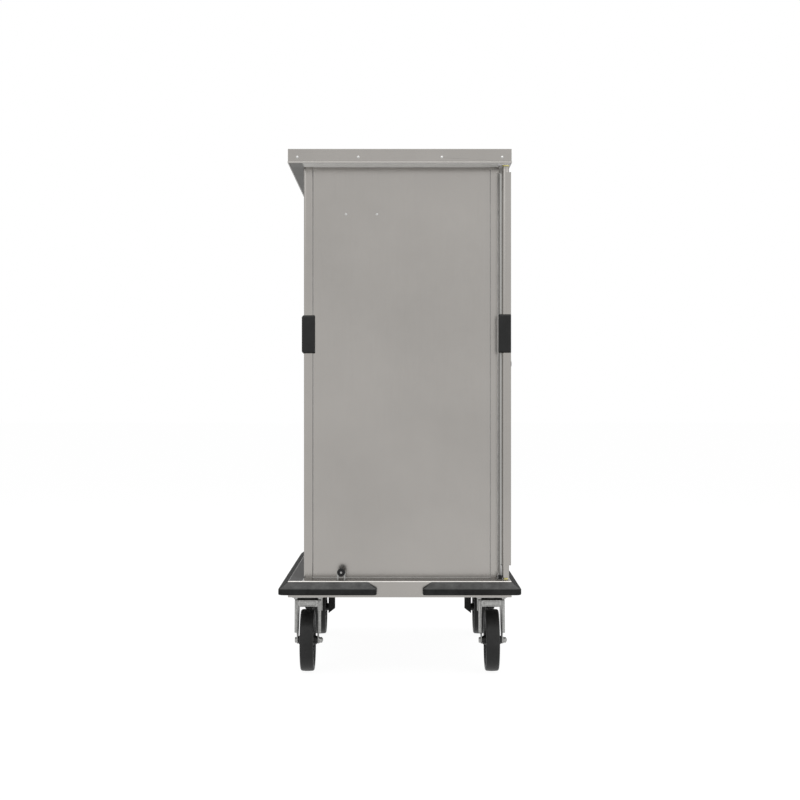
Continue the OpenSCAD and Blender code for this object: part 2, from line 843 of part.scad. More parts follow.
module rear_pad() {
    translate([back_x - pad_t, -end_y - pad_t, deck_z + pad_z]) difference() {
        block([0, 0, 0], [pad_leg, pad_leg, pad_h]);
        block([pad_t, pad_t, -1], [pad_leg + 1, pad_leg + 1, pad_h + 1]);
        for (z = [0, pad_h]) {
            translate([0, 0, z]) rotate([45, 0, 0]) cube([3 * pad_leg, pad_t, pad_t], center = true);
            translate([0, 0, z]) rotate([0, 45, 0]) cube([pad_t, 3 * pad_leg, pad_t], center = true);
        }
    }
}

module rear_pads() color(black) both_ends() rear_pad();

// ---------- Casters: drawn round the swivel axis, wheel trailing towards -Y ----------

module at_caster(sx, sy) {
    translate([sx * caster_x, sy * swivel_y, 0]) children();
}

module bolt_holes(z, h) {
    for (i = [-1, 1], j = [-1, 1]) translate([i * bolt_x / 2, j * bolt_y / 2, z])
        cylinder(d = bolt_d + 2 * run_fit, h = h);
}

module caster_plate() {
    difference() {
        block([-plate_x / 2, -plate_y / 2, plate_z], [plate_x / 2, plate_y / 2, mount_z]);
        bolt_holes(plate_z - 1, plate_t + 2);
    }
    translate([0, 0, plate_z - race_h]) cylinder(d1 = race_d - 6, d2 = race_d, h = race_h);
    translate([0, 0, crown_z - crown_h]) cylinder(d = king_d, h = crown_h + race_h);
    translate([0, 0, crown_z - crown_h]) cylinder(d = king_d + 10, h = crown_h - fork_t - 6);
}

module caster_plates() {
    color(bright_steel) for (sx = [-1, 1], sy = [-1, 1]) at_caster(sx, sy) caster_plate();
}

module caster_bolt() {
    translate([0, 0, plate_z - bolt_d * 0.7]) cylinder(d = bolt_d * 1.9, h = bolt_d * 0.7, $fn = 6);
    translate([0, 0, plate_z - 1]) cylinder(d = bolt_d, h = plate_t + channel_t + bolt_d + 1);
    translate([0, 0, mount_z + channel_t]) cylinder(d = bolt_d * 1.9, h = bolt_d * 0.8, $fn = 6);
}

module caster_bolts() {
    color(bright_steel) for (sx = [-1, 1], sy = [-1, 1], i = [-1, 1], j = [-1, 1])
        at_caster(sx, sy) translate([i * bolt_x / 2, j * bolt_y / 2, 0]) caster_bolt();
}

// Side view of a fork leg: wide under the crown, round at the axle
module leg_outline() {
    polygon([[-crown_front, crown_z], [-trail - fork_end_r, wheel_r], [-trail + fork_end_r, wheel_r],
        [crown_back, crown_z - 2 * crown_h], [crown_back, crown_z]]);
    translate([-trail, wheel_r]) circle(r = fork_end_r);
}

// The outline's two upright edges, as strips that stiffen the leg
module leg_flanges() {
    flange_low = wheel_r + 2 * fork_end_r;
    slope = (fork_end_r + trail - crown_front) / (crown_z - wheel_r);
    low_y = -trail - fork_end_r + slope * (flange_low - wheel_r);
    polygon([[-crown_front, crown_z], [low_y, flange_low], [low_y + fork_t, flange_low],
        [-crown_front + fork_t, crown_z]]);
    polygon([[crown_back, crown_z], [crown_back, crown_z - 2 * crown_h],
        [crown_back - fork_t, crown_z - 2 * crown_h], [crown_back - fork_t, crown_z]]);
}

// Turns a side view drawn in [y, z] into a slab between two X planes
module side_slab(x0, x1) {
    translate([x0, 0, 0]) rotate([90, 0, 90]) linear_extrude(x1 - x0) children();
}

module fork(sx, sy, braked) {
    color(bright_steel) at_caster(sx, sy) difference() {
        union() {
            both_sides() {
                side_slab(leg_x, leg_x + fork_t) leg_outline();
                side_slab(leg_x, fork_w / 2) leg_flanges();
                block([fork_w / 2 - fork_t, -30, crown_z - 1],
                    [fork_w / 2, 28, plate_z - 1.5]);
                if (braked) translate([leg_x, -brake_back, wheel_r + brake_up]) rotate([0, 90, 0])
                    cylinder(d = brake_pin_d, h = fork_w / 2 - leg_x + cheek_t + 1);
            }
            block([-fork_w / 2, -crown_front, crown_z - fork_t], [fork_w / 2, crown_back, crown_z]);
            block([-leg_x, -crown_front, crown_z - crown_h], [leg_x, -crown_front + fork_t, crown_z]);
            block([-leg_x, crown_back - fork_t, crown_z - crown_h], [leg_x, crown_back, crown_z]);
            translate([0, 0, crown_z - fork_t - 5]) cylinder(d = race_d, h = 6);
        }
        translate([0, 0, crown_z - crown_h - 1]) cylinder(d = king_d + 2 * run_fit, h = crown_h + 2);
        translate([-fork_w, -trail, wheel_r]) rotate([0, 90, 0]) cylinder(d = axle_bore, h = 2 * fork_w);
    }
}

module on_axle(sx, sy) {
    at_caster(sx, sy) translate([0, -trail, wheel_r]) rotate([0, 90, 0]) children();
}

// The axle bolt: washer and head towards the doors, nut towards the back
module axle(sx, sy) {
    end = leg_x + fork_t;
    color(bright_steel) on_axle(sx, sy) {
        translate([0, 0, -end - 6.5]) cylinder(d = axle_d, h = 2 * end + 7);
        translate([0, 0, end]) cylinder(d = axle_d * 1.8, h = 2.5);
        translate([0, 0, end + 2.5]) cylinder(d = axle_d * 1.55, h = 8.3, $fn = 6);
        translate([0, 0, -end - 6]) cylinder(d = axle_d * 1.55, h = 6, $fn = 6);
    }
}

// Hub: a boss over the full length, a dished web and a rim under the tyre
module hub(sx, sy) {
    web = 7;
    rim = tyre_w - 8;
    color(black) on_axle(sx, sy) difference() {
        rotate_extrude() polygon([[0, -hub_l / 2], [boss_d / 2, -hub_l / 2], [boss_d / 2 + 5, -web],
            [rim_r - 12, -web], [rim_r - 8, -rim / 2], [rim_r, -rim / 2],
            [rim_r, rim / 2], [rim_r - 8, rim / 2], [rim_r - 12, web], [boss_d / 2 + 5, web],
            [boss_d / 2, hub_l / 2], [0, hub_l / 2]]);
        cylinder(d = axle_bore, h = 2 * hub_l, center = true);
    }
}

// Tyre: flat tread with round shoulders
module tyre(sx, sy) {
    half = tyre_w / 2;
    color(rubber) on_axle(sx, sy) rotate_extrude($fn = 96) {
        translate([rim_r, -half + 3]) square([tyre_depth - shoulder_r, tyre_w - 6]);
        polygon([[rim_r, -half + 3], [rim_r + 4, -half], [wheel_r - shoulder_r, -half],
            [wheel_r - shoulder_r, half], [rim_r + 4, half], [rim_r, half - 3]]);
        translate([wheel_r - shoulder_r, -half + shoulder_r])
            square([shoulder_r, tyre_w - 2 * shoulder_r]);
        for (s = [-1, 1]) translate([wheel_r - shoulder_r, s * (half - shoulder_r)])
            circle(r = shoulder_r);
    }
}

// Brake lever: two cheeks outside the fork, joined by a tread behind the top of the wheel
module brake(sx, sy) {
    inner = fork_w / 2 + 1;
    outer = inner + cheek_t;
    pin_y = -brake_back;
    pin_z = wheel_r + brake_up;
    tread_y = -trail - 0.68 * wheel_r;
    tread_z = wheel_r + tread_up;
    cheek_y = -trail - fork_end_r - 13;
    color(black) at_caster(sx, sy) difference() {
        union() {
            both_sides() {
                side_slab(inner, outer) {
                    polygon([[pin_y, pin_z - 9], [pin_y, pin_z + 9], [tread_y, tread_z + tread_t],
                        [tread_y - tread_l, tread_z + tread_t], [tread_y - tread_l, tread_z],
                        [cheek_y - 12, pin_z - 8], [cheek_y - 12, wheel_r], [cheek_y, wheel_r],
                        [cheek_y, pin_z - 14]]);
                    translate([pin_y, pin_z]) circle(d = 18);
                }
                translate([0, cheek_y, 0]) rotate([90, 0, 0]) linear_extrude(12)
                    polygon([[leg_x, wheel_r - 20], [outer, wheel_r - 1], [outer, pin_z - 17],
                        [leg_x, pin_z - 17]]);
            }
            block([-outer, tread_y - tread_l, tread_z], [outer, tread_y, tread_z + tread_t]);
        }
        translate([-2 * outer, pin_y, pin_z]) rotate([0, 90, 0])
            cylinder(d = brake_pin_d + 2 * run_fit, h = 4 * outer);
    }
}

module fork_near_back() fork(-1, -1, false);
module fork_near_front() fork(1, -1, false);
module fork_far_back() fork(-1, 1, true);
module fork_far_front() fork(1, 1, true);
module axle_near_back() axle(-1, -1);
module axle_near_front() axle(1, -1);
module axle_far_back() axle(-1, 1);
module axle_far_front() axle(1, 1);
module hub_near_back() hub(-1, -1);
module hub_near_front() hub(1, -1);
module hub_far_back() hub(-1, 1);
module hub_far_front() hub(1, 1);
module tyre_near_back() tyre(-1, -1);
module tyre_near_front() tyre(1, -1);
module tyre_far_back() tyre(-1, 1);
module tyre_far_front() tyre(1, 1);
module brake_far_back() brake(-1, 1);
module brake_far_front() brake(1, 1);

base_deck();
chassis_frame();
bumper_back();
bumper_front();
rear_posts();
end_wall_near();
end_wall_far();
back_wall();
inner_liner();
floor_pan();
ceiling_pan();
door_frame();
middle_stile();
bay_divider();
roof_tray();
roof_lid();
rivets();
rack_uprights();
runners_near();
runners_far();
hinge_pins();
catch_brackets();
catch_magnets();
rear_pads();
caster_plates();
caster_bolts();
door_skin_near();
door_pan_near();
hinge_tube_near();
door_seal_near();
door_pad_near();
latch_rose_near();
latch_lever_near();
latch_tongue_near();
door_skin_far();
door_pan_far();
hinge_tube_far();
door_seal_far();
door_pad_far();
latch_rose_far();
latch_lever_far();
latch_tongue_far();
fork_near_back();
fork_near_front();
fork_far_back();
fork_far_front();
axle_near_back();
axle_near_front();
axle_far_back();
axle_far_front();
hub_near_back();
hub_near_front();
hub_far_back();
hub_far_front();
tyre_near_back();
tyre_near_front();
tyre_far_back();
tyre_far_front();
brake_far_back();
brake_far_front();
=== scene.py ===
import math

import bmesh
import bpy
from mathutils import Matrix, Vector


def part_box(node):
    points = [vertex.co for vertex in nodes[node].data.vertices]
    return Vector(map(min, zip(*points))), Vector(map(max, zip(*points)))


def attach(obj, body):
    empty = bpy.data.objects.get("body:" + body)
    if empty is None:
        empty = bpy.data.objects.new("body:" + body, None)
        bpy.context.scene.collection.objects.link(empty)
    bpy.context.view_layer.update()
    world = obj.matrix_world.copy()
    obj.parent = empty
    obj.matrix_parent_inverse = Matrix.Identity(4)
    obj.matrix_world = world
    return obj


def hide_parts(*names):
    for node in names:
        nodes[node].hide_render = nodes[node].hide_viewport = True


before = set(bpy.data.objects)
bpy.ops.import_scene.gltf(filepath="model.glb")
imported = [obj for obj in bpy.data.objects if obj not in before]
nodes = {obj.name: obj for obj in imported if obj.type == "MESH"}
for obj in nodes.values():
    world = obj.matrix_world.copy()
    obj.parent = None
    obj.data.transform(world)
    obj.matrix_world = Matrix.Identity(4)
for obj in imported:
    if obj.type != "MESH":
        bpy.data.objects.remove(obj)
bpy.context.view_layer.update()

scene = bpy.context.scene
MM = 0.001
scene.view_settings.view_transform = "Standard"

# ---------- Camera and light ----------

FOCAL_PIXELS = 1690
PICTURE = 800
CAMERA_AT = (0.0008, -5.977, 0.878)
WORLD_LIGHT = 0.30
FLOOR_HALF = 60
FLOOR_DROP = 0.0005
FLOOR_TONE = 0.7
FLOOR_SEEN_TONE = 0.11
FLOOR_GLOW = 0.96


def make_camera():
    """The photo's camera, level and square to the cart's near end."""
    data = bpy.data.cameras.new("camera")
    data.sensor_width = 36
    data.lens = FOCAL_PIXELS / PICTURE * data.sensor_width
    data.clip_start = 0.05
    data.clip_end = 200
    cam = bpy.data.objects.new("camera", data)
    cam.location = CAMERA_AT
    cam.rotation_euler = (math.pi / 2, 0, 0)
    scene.collection.objects.link(cam)
    scene.camera = cam


def area_lamp(name, place, aim, size, watts):
    """A rectangular lamp that faces a point."""
    data = bpy.data.lights.new(name, "AREA")
    data.shape = "RECTANGLE"
    data.size, data.size_y = size
    data.energy = watts
    lamp = bpy.data.objects.new(name, data)
    lamp.location = place
    lamp.rotation_euler = (Vector(aim) - Vector(place)).to_track_quat("-Z", "Y").to_euler()
    scene.collection.objects.link(lamp)


def seen_directly(nt):
    """1 for camera, mirror and glass rays, 0 for rays that light a surface."""
    path = nt.nodes.new("ShaderNodeLightPath")
    total = path.outputs["Is Camera Ray"]
    for name in ("Is Glossy Ray", "Is Transmission Ray"):
        add = nt.nodes.new("ShaderNodeMath")
        add.operation = "ADD"
        add.use_clamp = True
        nt.links.new(total, add.inputs[0])
        nt.links.new(path.outputs[name], add.inputs[1])
        total = add.outputs[0]
    return total


def make_world():
    """A white surround that lights the cart less than it shows."""
    world = bpy.data.worlds.new("studio")
    scene.world = world
    world.use_nodes = True
    nt = world.node_tree
    nt.nodes.clear()
    out = nt.nodes.new("ShaderNodeOutputWorld")
    mix = nt.nodes.new("ShaderNodeMixShader")
    for slot, strength in ((1, WORLD_LIGHT), (2, 1.0)):
        shade = nt.nodes.new("ShaderNodeBackground")
        shade.inputs["Color"].default_value = (1, 1, 1, 1)
        shade.inputs["Strength"].default_value = strength
        nt.links.new(shade.outputs[0], mix.inputs[slot])
    nt.links.new(seen_directly(nt), mix.inputs[0])
    nt.links.new(mix.outputs[0], out.inputs[0])


def make_floor():
    """A white floor that keeps only a thin shade of the cart where it is seen."""
    mesh = bpy.data.meshes.new("floor")
    r = FLOOR_HALF
    mesh.from_pydata([(-r, -r, 0), (r, -r, 0), (r, r, 0), (-r, r, 0)], [], [(0, 1, 2, 3)])
    floor = bpy.data.objects.new("floor", mesh)
    floor.location.z = -FLOOR_DROP
    scene.collection.objects.link(floor)
    mat = bpy.data.materials.new("studio_floor")
    mat.use_nodes = True
    nt = mat.node_tree
    nt.nodes.clear()
    out = nt.nodes.new("ShaderNodeOutputMaterial")
    pale = nt.nodes.new("ShaderNodeBsdfDiffuse")
    pale.inputs["Color"].default_value = (FLOOR_TONE, FLOOR_TONE, FLOOR_TONE, 1)
    thin = nt.nodes.new("ShaderNodeBsdfDiffuse")
    thin.inputs["Color"].default_value = (FLOOR_SEEN_TONE, FLOOR_SEEN_TONE, FLOOR_SEEN_TONE, 1)
    glow = nt.nodes.new("ShaderNodeEmission")
    glow.inputs["Strength"].default_value = FLOOR_GLOW
    add = nt.nodes.new("ShaderNodeAddShader")
    mix = nt.nodes.new("ShaderNodeMixShader")
    nt.links.new(glow.outputs[0], add.inputs[0])
    nt.links.new(thin.outputs[0], add.inputs[1])
    nt.links.new(seen_directly(nt), mix.inputs[0])
    nt.links.new(pale.outputs[0], mix.inputs[1])
    nt.links.new(add.outputs[0], mix.inputs[2])
    nt.links.new(mix.outputs[0], out.inputs[0])
    mesh.materials.append(mat)


make_camera()
make_world()
make_floor()
area_lamp("overhead", (0, -1.0, 5.4), (0, -0.4, 0.3), (8, 8), 240)
area_lamp("overhead_back", (0.4, 3.2, 4.6), (0, 0, 0.6), (6, 6), 70)
area_lamp("key", (-2.6, -4.6, 3.2), (0, 0, 0.9), (2.6, 2.6), 14)
area_lamp("fill", (3.6, -3.6, 2.2), (0, 0, 0.8), (2.4, 2.4), 12)

# ---------- Materials ----------

STEEL = (0.372, 0.356, 0.336)
GRAIN_STRETCH = 0.012
CLOUD_CELLS, SMUDGE_CELLS, SPANGLE_CELLS, DIRT_CELLS = 2.2, 11, 210, 28
FINE_DEPTH = 0.0002
# Painted shade: how dark the roof's underside is made along the back ledge.
LEDGE_SHADE = 0.245
LEDGE_EDGE = (-0.312, -0.306)


def new_tree(name):
    """An empty material with its node tree and one Principled shader."""
    mat = bpy.data.materials.new(name)
    mat.use_nodes = True
    nt = mat.node_tree
    nt.nodes.clear()
    out = nt.nodes.new("ShaderNodeOutputMaterial")
    shade = nt.nodes.new("ShaderNodeBsdfPrincipled")
    nt.links.new(shade.outputs[0], out.inputs[0])
    return mat, nt, shade


def noise(nt, scale, stretch=(1, 1, 1), detail=3.0, rough=0.55):
    """A noise pattern fixed to the piece, with its cells per metre and its stretch."""
    place = nt.nodes.new("ShaderNodeTexCoord")
    mapping = nt.nodes.new("ShaderNodeMapping")
    mapping.inputs["Scale"].default_value = stretch
    tex = nt.nodes.new("ShaderNodeTexNoise")
    tex.inputs["Scale"].default_value = scale
    tex.inputs["Detail"].default_value = detail
    tex.inputs["Roughness"].default_value = rough
    nt.links.new(place.outputs["Object"], mapping.inputs["Vector"])
    nt.links.new(mapping.outputs[0], tex.inputs["Vector"])
    return tex.outputs["Fac"]


def spread(nt, value, low, high, start=0.3, end=0.7):
    """The pattern's values from start to end, spread over low to high."""
    node = nt.nodes.new("ShaderNodeMapRange")
    node.inputs["From Min"].default_value = start
    node.inputs["From Max"].default_value = end
    node.inputs["To Min"].default_value = low
    node.inputs["To Max"].default_value = high
    nt.links.new(value, node.inputs["Value"])
    return node.outputs["Result"]


def combine(nt, a, b, operation="MULTIPLY"):
    """A maths node on two values, each a number or an output."""
    node = nt.nodes.new("ShaderNodeMath")
    node.operation = operation
    for i, value in enumerate((a, b)):
        if isinstance(value, (int, float)):
            node.inputs[i].default_value = value
        else:
            nt.links.new(value, node.inputs[i])
    return node.outputs[0]


def tinted(nt, colour, factor):
    """The colour, a plain value or an output, made lighter and darker by the factor."""
    node = nt.nodes.new("ShaderNodeMix")
    node.data_type = "RGBA"
    node.blend_type = "MULTIPLY"
    node.inputs["Factor"].default_value = 1.0
    if isinstance(colour, tuple):
        node.inputs[6].default_value = (*colour, 1)
    else:
        nt.links.new(colour, node.inputs[6])
    joined = nt.nodes.new("ShaderNodeCombineColor")
    for i in range(3):
        nt.links.new(factor, joined.inputs[i])
    nt.links.new(joined.outputs[0], node.inputs[7])
    return node.outputs[2]


def bump(nt, shade, height, strength):
    """Fine relief after a pattern."""
    node = nt.nodes.new("ShaderNodeBump")
    node.inputs["Strength"].default_value = strength
    node.inputs["Distance"].default_value = FINE_DEPTH
    nt.links.new(height, node.inputs["Height"])
    nt.links.new(node.outputs[0], shade.inputs["Normal"])


def brushed(name, colour, rough, along=2, grain=0.015, cells=900, tone=0.05, spangle=0.0, edge=0.6):
    """Brushed metal whose grain runs along one axis of the part.

    Tone is the reach of its broad clouds, spangle that of its zinc crystals, and edge is
    how much it still mirrors when seen almost edge on."""
    mat, nt, shade = new_tree(name)
    shade.inputs["Specular Tint"].default_value = (edge, edge, edge, 1)
    stretch = [1.0, 1.0, 1.0]
    stretch[along] = GRAIN_STRETCH
    lines = noise(nt, cells, stretch, detail=4)
    clouds = noise(nt, CLOUD_CELLS, detail=4)
    smudges = noise(nt, SMUDGE_CELLS, detail=5, rough=0.7)
    factor = spread(nt, lines, 1 - grain, 1 + grain)
    factor = combine(nt, factor, spread(nt, clouds, 1 - tone, 1 + tone))
    factor = combine(nt, factor, spread(nt, smudges, 0.985, 1.015))
    if spangle:
        crystals = noise(nt, SPANGLE_CELLS, detail=2)
        factor = combine(nt, factor, spread(nt, crystals, 1 - spangle, 1 + spangle))
    nt.links.new(tinted(nt, colour, factor), shade.inputs["Base Color"])
    wear = spread(nt, smudges, rough - 0.03, rough + 0.04)
    nt.links.new(combine(nt, spread(nt, lines, -0.03, 0.03), wear, "ADD"), shade.inputs["Roughness"])
    shade.inputs["Metallic"].default_value = 1.0
    bump(nt, shade, lines, strength=0.005)
    return mat


def moulded(name, colour, rough, cells=1400, scuff=0.25, gloss=0.25, painted_top_light=0.0):
    """Moulded plastic, rubber or paint with a fine grain and paler scuffs.

    The last argument is how much paler it is made where it slopes up towards one of the cart's ends: a
    painted highlight of light from above."""
    mat, nt, shade = new_tree(name)
    grain = noise(nt, cells, detail=2)
    dirt = noise(nt, DIRT_CELLS, detail=6, rough=0.7)
    scuffs = spread(nt, dirt, 1 - scuff, 1 + scuff * 1.4, 0.35, 0.75)
    factor = combine(nt, spread(nt, grain, 0.9, 1.1), scuffs)
    # Painted highlight: faces that slope up towards the cart's ends are made paler, as if lit from above.
    if painted_top_light:
        place = nt.nodes.new("ShaderNodeTexCoord")
        parts = nt.nodes.new("ShaderNodeSeparateXYZ")
        nt.links.new(place.outputs["Normal"], parts.inputs[0])
        ends = spread(nt, combine(nt, parts.outputs["Y"], 0, "ABSOLUTE"), 0, 1, 0.2, 0.5)
        pale = combine(nt, spread(nt, parts.outputs["Z"], 0, painted_top_light, 0.25, 0.75), ends)
        factor = combine(nt, factor, combine(nt, pale, 1, "ADD"))
    nt.links.new(tinted(nt, colour, factor), shade.inputs["Base Color"])
    nt.links.new(spread(nt, dirt, rough - 0.06, rough + 0.08), shade.inputs["Roughness"])
    shade.inputs["Specular IOR Level"].default_value = gloss
    bump(nt, shade, grain, strength=0.25)
    return mat


steel_up = brushed("steel_brushed_upright", STEEL, 0.19, along=2)
steel_cross = brushed("steel_brushed_crosswise", STEEL, 0.22, along=0)
# Paler, fully mirroring steel for the deck's end folds: a painted highlight along that edge.
fold_painted_highlight = brushed("steel_fold_painted_highlight", (0.60, 0.58, 0.555), 0.33, along=0, edge=1.0)
# Paler steel for the roof's hem: a painted highlight along the roof's lower edge.
hem_painted_highlight = brushed("steel_hem_painted_highlight", (0.46, 0.442, 0.42), 0.3, along=0)
# Pale matt colour for the hinge plates under the roof: painted light in the shade there.
plate_painted_light = moulded("plate_painted_light_pale", (0.80, 0.79, 0.80), 0.5, scuff=0.06, gloss=0.4)
inner_steel = brushed("steel_inner", (0.42, 0.415, 0.40), 0.34, along=2, grain=0.03)
zinc = brushed("zinc_plate", (0.37, 0.37, 0.36), 0.32, grain=0.04, cells=500, tone=0.09, spangle=0.2)
zinc_dark = brushed("zinc_dark", (0.26, 0.26, 0.255), 0.38, along=0, grain=0.04, cells=700, tone=0.09)
# Painted dark reflection: the deck's back ledge gets this matt dark grey in place of steel.
ledge_painted_dark_reflection = moulded("ledge_painted_dark_reflection", (0.105, 0.105, 0.105), 0.62, scuff=0.10, gloss=0.04)
grey_coat = moulded("grey_coating", (0.16, 0.16, 0.16), 0.55, scuff=0.12)
rivet_metal = brushed("rivet_aluminium", (0.55, 0.55, 0.54), 0.3, cells=1500)
brass = brushed("turned_brass", (0.66, 0.60, 0.25), 0.32, along=0, cells=1500, tone=0.1)
# The bumper's up-facing slopes are painted paler: a painted highlight of light from above.
black_bumper = moulded("bumper_black", (0.037, 0.037, 0.0365), 0.70, gloss=0.03, painted_top_light=2.6)
black_pad = moulded("pad_black", (0.019, 0.019, 0.019), 0.46)
black_hub = moulded("hub_black", (0.014, 0.014, 0.014), 0.42)
tyre_black = moulded("tyre_black", (0.026, 0.026, 0.026), 0.46, cells=900, scuff=0.3)
seal_black = moulded("seal_black", (0.016, 0.016, 0.016), 0.6)
# A light grey gasket, made paler still to lift the shade in the gap beside the door: partly painted
# light.
gasket_grey_and_painted_light = moulded("gasket_grey_and_painted_light", (0.70, 0.685, 0.665), 0.6, scuff=0.1)
# Grey sealant beads in the wall joints, which also paint each joint's shadow line.
seam_bead_and_shade = moulded("seam_bead_grey_and_shade", (0.46, 0.45, 0.435), 0.55, scuff=0.1)


def underside():
    """The roof's matt pale underside, darker along the back ledge than over the end walls: that darker
    ledge is painted shade.
    """
    mat = moulded("roof_underside", (0.88, 0.87, 0.845), 0.6, scuff=0.03, gloss=0.3)
    nt = mat.node_tree
    shade = next(n for n in nt.nodes if n.type == "BSDF_PRINCIPLED")
    place = nt.nodes.new("ShaderNodeTexCoord")
    parts = nt.nodes.new("ShaderNodeSeparateXYZ")
    nt.links.new(place.outputs["Object"], parts.inputs[0])
    # Painted shade darkens the underside towards the back ledge.
    ledge = spread(nt, parts.outputs["X"], LEDGE_SHADE, 1.0, *LEDGE_EDGE)
    plain = shade.inputs["Base Color"].links[0].from_socket
    nt.links.new(tinted(nt, plain, ledge), shade.inputs["Base Color"])
    return mat


roof_under = underside()

# The material of each CAD node and the rounding of its edges in millimetres
FINISH = {
    "base_deck": (steel_cross, 0.9), "chassis_frame": (grey_coat, 0.6),
    "bumper_back": (black_bumper, 3.0), "bumper_front": (black_bumper, 3.0),
    "rear_posts": (steel_up, 0.4), "end_wall_near": (steel_up, 0.5), "end_wall_far": (steel_up, 0.5),
    "back_wall": (steel_up, 0.5), "inner_liner": (inner_steel, 0), "floor_pan": (inner_steel, 0.5),
    "ceiling_pan": (inner_steel, 0.5), "door_frame": (steel_up, 0.8), "middle_stile": (steel_up, 0.8),
    "bay_divider": (inner_steel, 0.5),
    "roof_tray": (roof_under, 0.5), "roof_lid": (steel_cross, 0.6), "rivets": (rivet_metal, 0),
    "rack_uprights": (inner_steel, 0.8), "runners_near": (inner_steel, 0.4),
    "runners_far": (inner_steel, 0.4),
    "hinge_pins": (brass, 0.5), "catch_brackets": (zinc, 0.4), "catch_magnets": (seal_black, 1.2),
    "rear_pads": (black_pad, 2.5), "caster_plates": (zinc, 0.6), "caster_bolts": (zinc, 0.4),
}
for end in ("near", "far"):
    FINISH.update({
        "door_skin_" + end: (steel_up, 0.5), "door_pan_" + end: (inner_steel, 0.4),
        "hinge_tube_" + end: (steel_up, 0.3), "door_seal_" + end: (seal_black, 2.0),
        "door_pad_" + end: (black_pad, 2.5), "latch_rose_" + end: (black_pad, 0.8),
        "latch_lever_" + end: (black_pad, 2.0), "latch_tongue_" + end: (zinc, 0.5)})
    for side in ("back", "front"):
        wheel = end + "_" + side
        FINISH.update({"fork_" + wheel: (zinc, 1.7), "axle_" + wheel: (zinc, 0.5),
                       "hub_" + wheel: (black_hub, 1.0), "tyre_" + wheel: (tyre_black, 0)})
for side in ("back", "front"):
    FINISH["brake_far_" + side] = (black_pad, 1.5)

# ---------- Surfaces ----------

SMOOTH_BELOW = math.radians(34)
ROUND_ABOVE = math.radians(40)
FLAT_WITHIN = math.radians(0.4)
WELD_WITHIN = 0.00001


def make_smoother():
    """A modifier group that shades smoothly over shallow edges and keeps the others sharp."""
    group = bpy.data.node_groups.new("smooth_by_angle", "GeometryNodeTree")
    group.is_modifier = True
    group.interface.new_socket("Geometry", in_out="INPUT", socket_type="NodeSocketGeometry")
    group.interface.new_socket("Geometry", in_out="OUTPUT", socket_type="NodeSocketGeometry")
    start = group.nodes.new("NodeGroupInput")
    end = group.nodes.new("NodeGroupOutput")
    faces = group.nodes.new("GeometryNodeSetShadeSmooth")
    edges = group.nodes.new("GeometryNodeSetShadeSmooth")
    edges.domain = "EDGE"
    angle = group.nodes.new("GeometryNodeInputMeshEdgeAngle")
    wide = group.nodes.new("FunctionNodeCompare")
    wide.data_type = "FLOAT"
    wide.operation = "GREATER_THAN"
    wide.inputs[1].default_value = SMOOTH_BELOW
    edges.inputs["Shade Smooth"].default_value = False
    group.links.new(angle.outputs["Unsigned Angle"], wide.inputs[0])
    group.links.new(wide.outputs[0], edges.inputs["Selection"])
    group.links.new(start.outputs[0], faces.inputs["Geometry"])
    group.links.new(faces.outputs[0], edges.inputs["Geometry"])
    group.links.new(edges.outputs[0], end.inputs[0])
    return group


smoother = make_smoother()


def finish_mesh(piece, width, segments=3, flatten=True):
    """Welds, rounds the sharp edges by a width in millimetres, and shades flat faces flat."""
    weld = piece.modifiers.new("weld", "WELD")
    weld.merge_threshold = WELD_WITHIN
    if flatten:
        planar = piece.modifiers.new("planar", "DECIMATE")
        planar.decimate_type = "DISSOLVE"
        planar.angle_limit = FLAT_WITHIN
    if width:
        edge = piece.modifiers.new("edge", "BEVEL")
        edge.limit_method = "ANGLE"
        edge.angle_limit = ROUND_ABOVE
        edge.width = width * MM
        edge.segments = segments
        edge.use_clamp_overlap = False
    smooth = piece.modifiers.new("smooth", "NODES")
    smooth.node_group = smoother
    flat = piece.modifiers.new("flat", "WEIGHTED_NORMAL")
    flat.keep_sharp = True


def dress(node, mat, width):
    """Gives a CAD node its material and softly rounded edges."""
    mesh = node.data
    mesh.materials.clear()
    mesh.materials.append(mat)
    for name in ("custom_normal", "sharp_edge", "sharp_face"):
        if name in mesh.attributes:
            mesh.attributes.remove(mesh.attributes[name])
    for face in mesh.polygons:
        face.material_index = 0
    finish_mesh(node, width, 3 if width >= 1 else 2)


for name, (mat, width) in FINISH.items():
    dress(nodes[name], mat, width)

# ---------- Mesh tools ----------

# From here on lengths are in millimetres, and new_piece turns them into metres.
ON_AXIS = 1e-6
MERGE_WITHIN = 0.005
SHORTEST_EDGE = 0.003
BOX_SEGMENTS = 2
CORNER_STEPS = 6


def new_piece(name, bm, mats, body, hides=()):
    """Turns a bmesh drawn in millimetres into a piece that rides on a body."""
    bmesh.ops.remove_doubles(bm, verts=bm.verts, dist=MERGE_WITHIN)
    bmesh.ops.dissolve_degenerate(bm, edges=bm.edges, dist=SHORTEST_EDGE)
    bmesh.ops.recalc_face_normals(bm, faces=bm.faces)
    bmesh.ops.scale(bm, vec=(MM, MM, MM), verts=bm.verts)
    mesh = bpy.data.meshes.new(name)
    bm.to_mesh(mesh)
    bm.free()
    piece = bpy.data.objects.new(name, mesh)
    scene.collection.objects.link(piece)
    for mat in mats if isinstance(mats, list) else [mats]:
        mesh.materials.append(mat)
    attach(piece, body)
    if hides:
        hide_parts(*hides)
    finish_mesh(piece, 0, flatten=False)


def add_rail(bm, lines):
    """Joins lines of points into a bar: each line runs lengthwise, and both ends are closed."""
    rows = [[bm.verts.new(p) for p in line] for line in lines]
    for a, b in zip(rows, rows[1:] + rows[:1]):
        for i in range(len(a) - 1):
            bm.faces.new((a[i], a[i + 1], b[i + 1], b[i]))
    for i in (0, -1):
        bm.faces.new([row[i] for row in rows])


def join_rings(bm, a, b):
    """Faces between two closed rings that have the same number of points."""
    for i in range(len(a)):
        j = (i + 1) % len(a)
        bm.faces.new((a[i], a[j], b[j], b[i]))


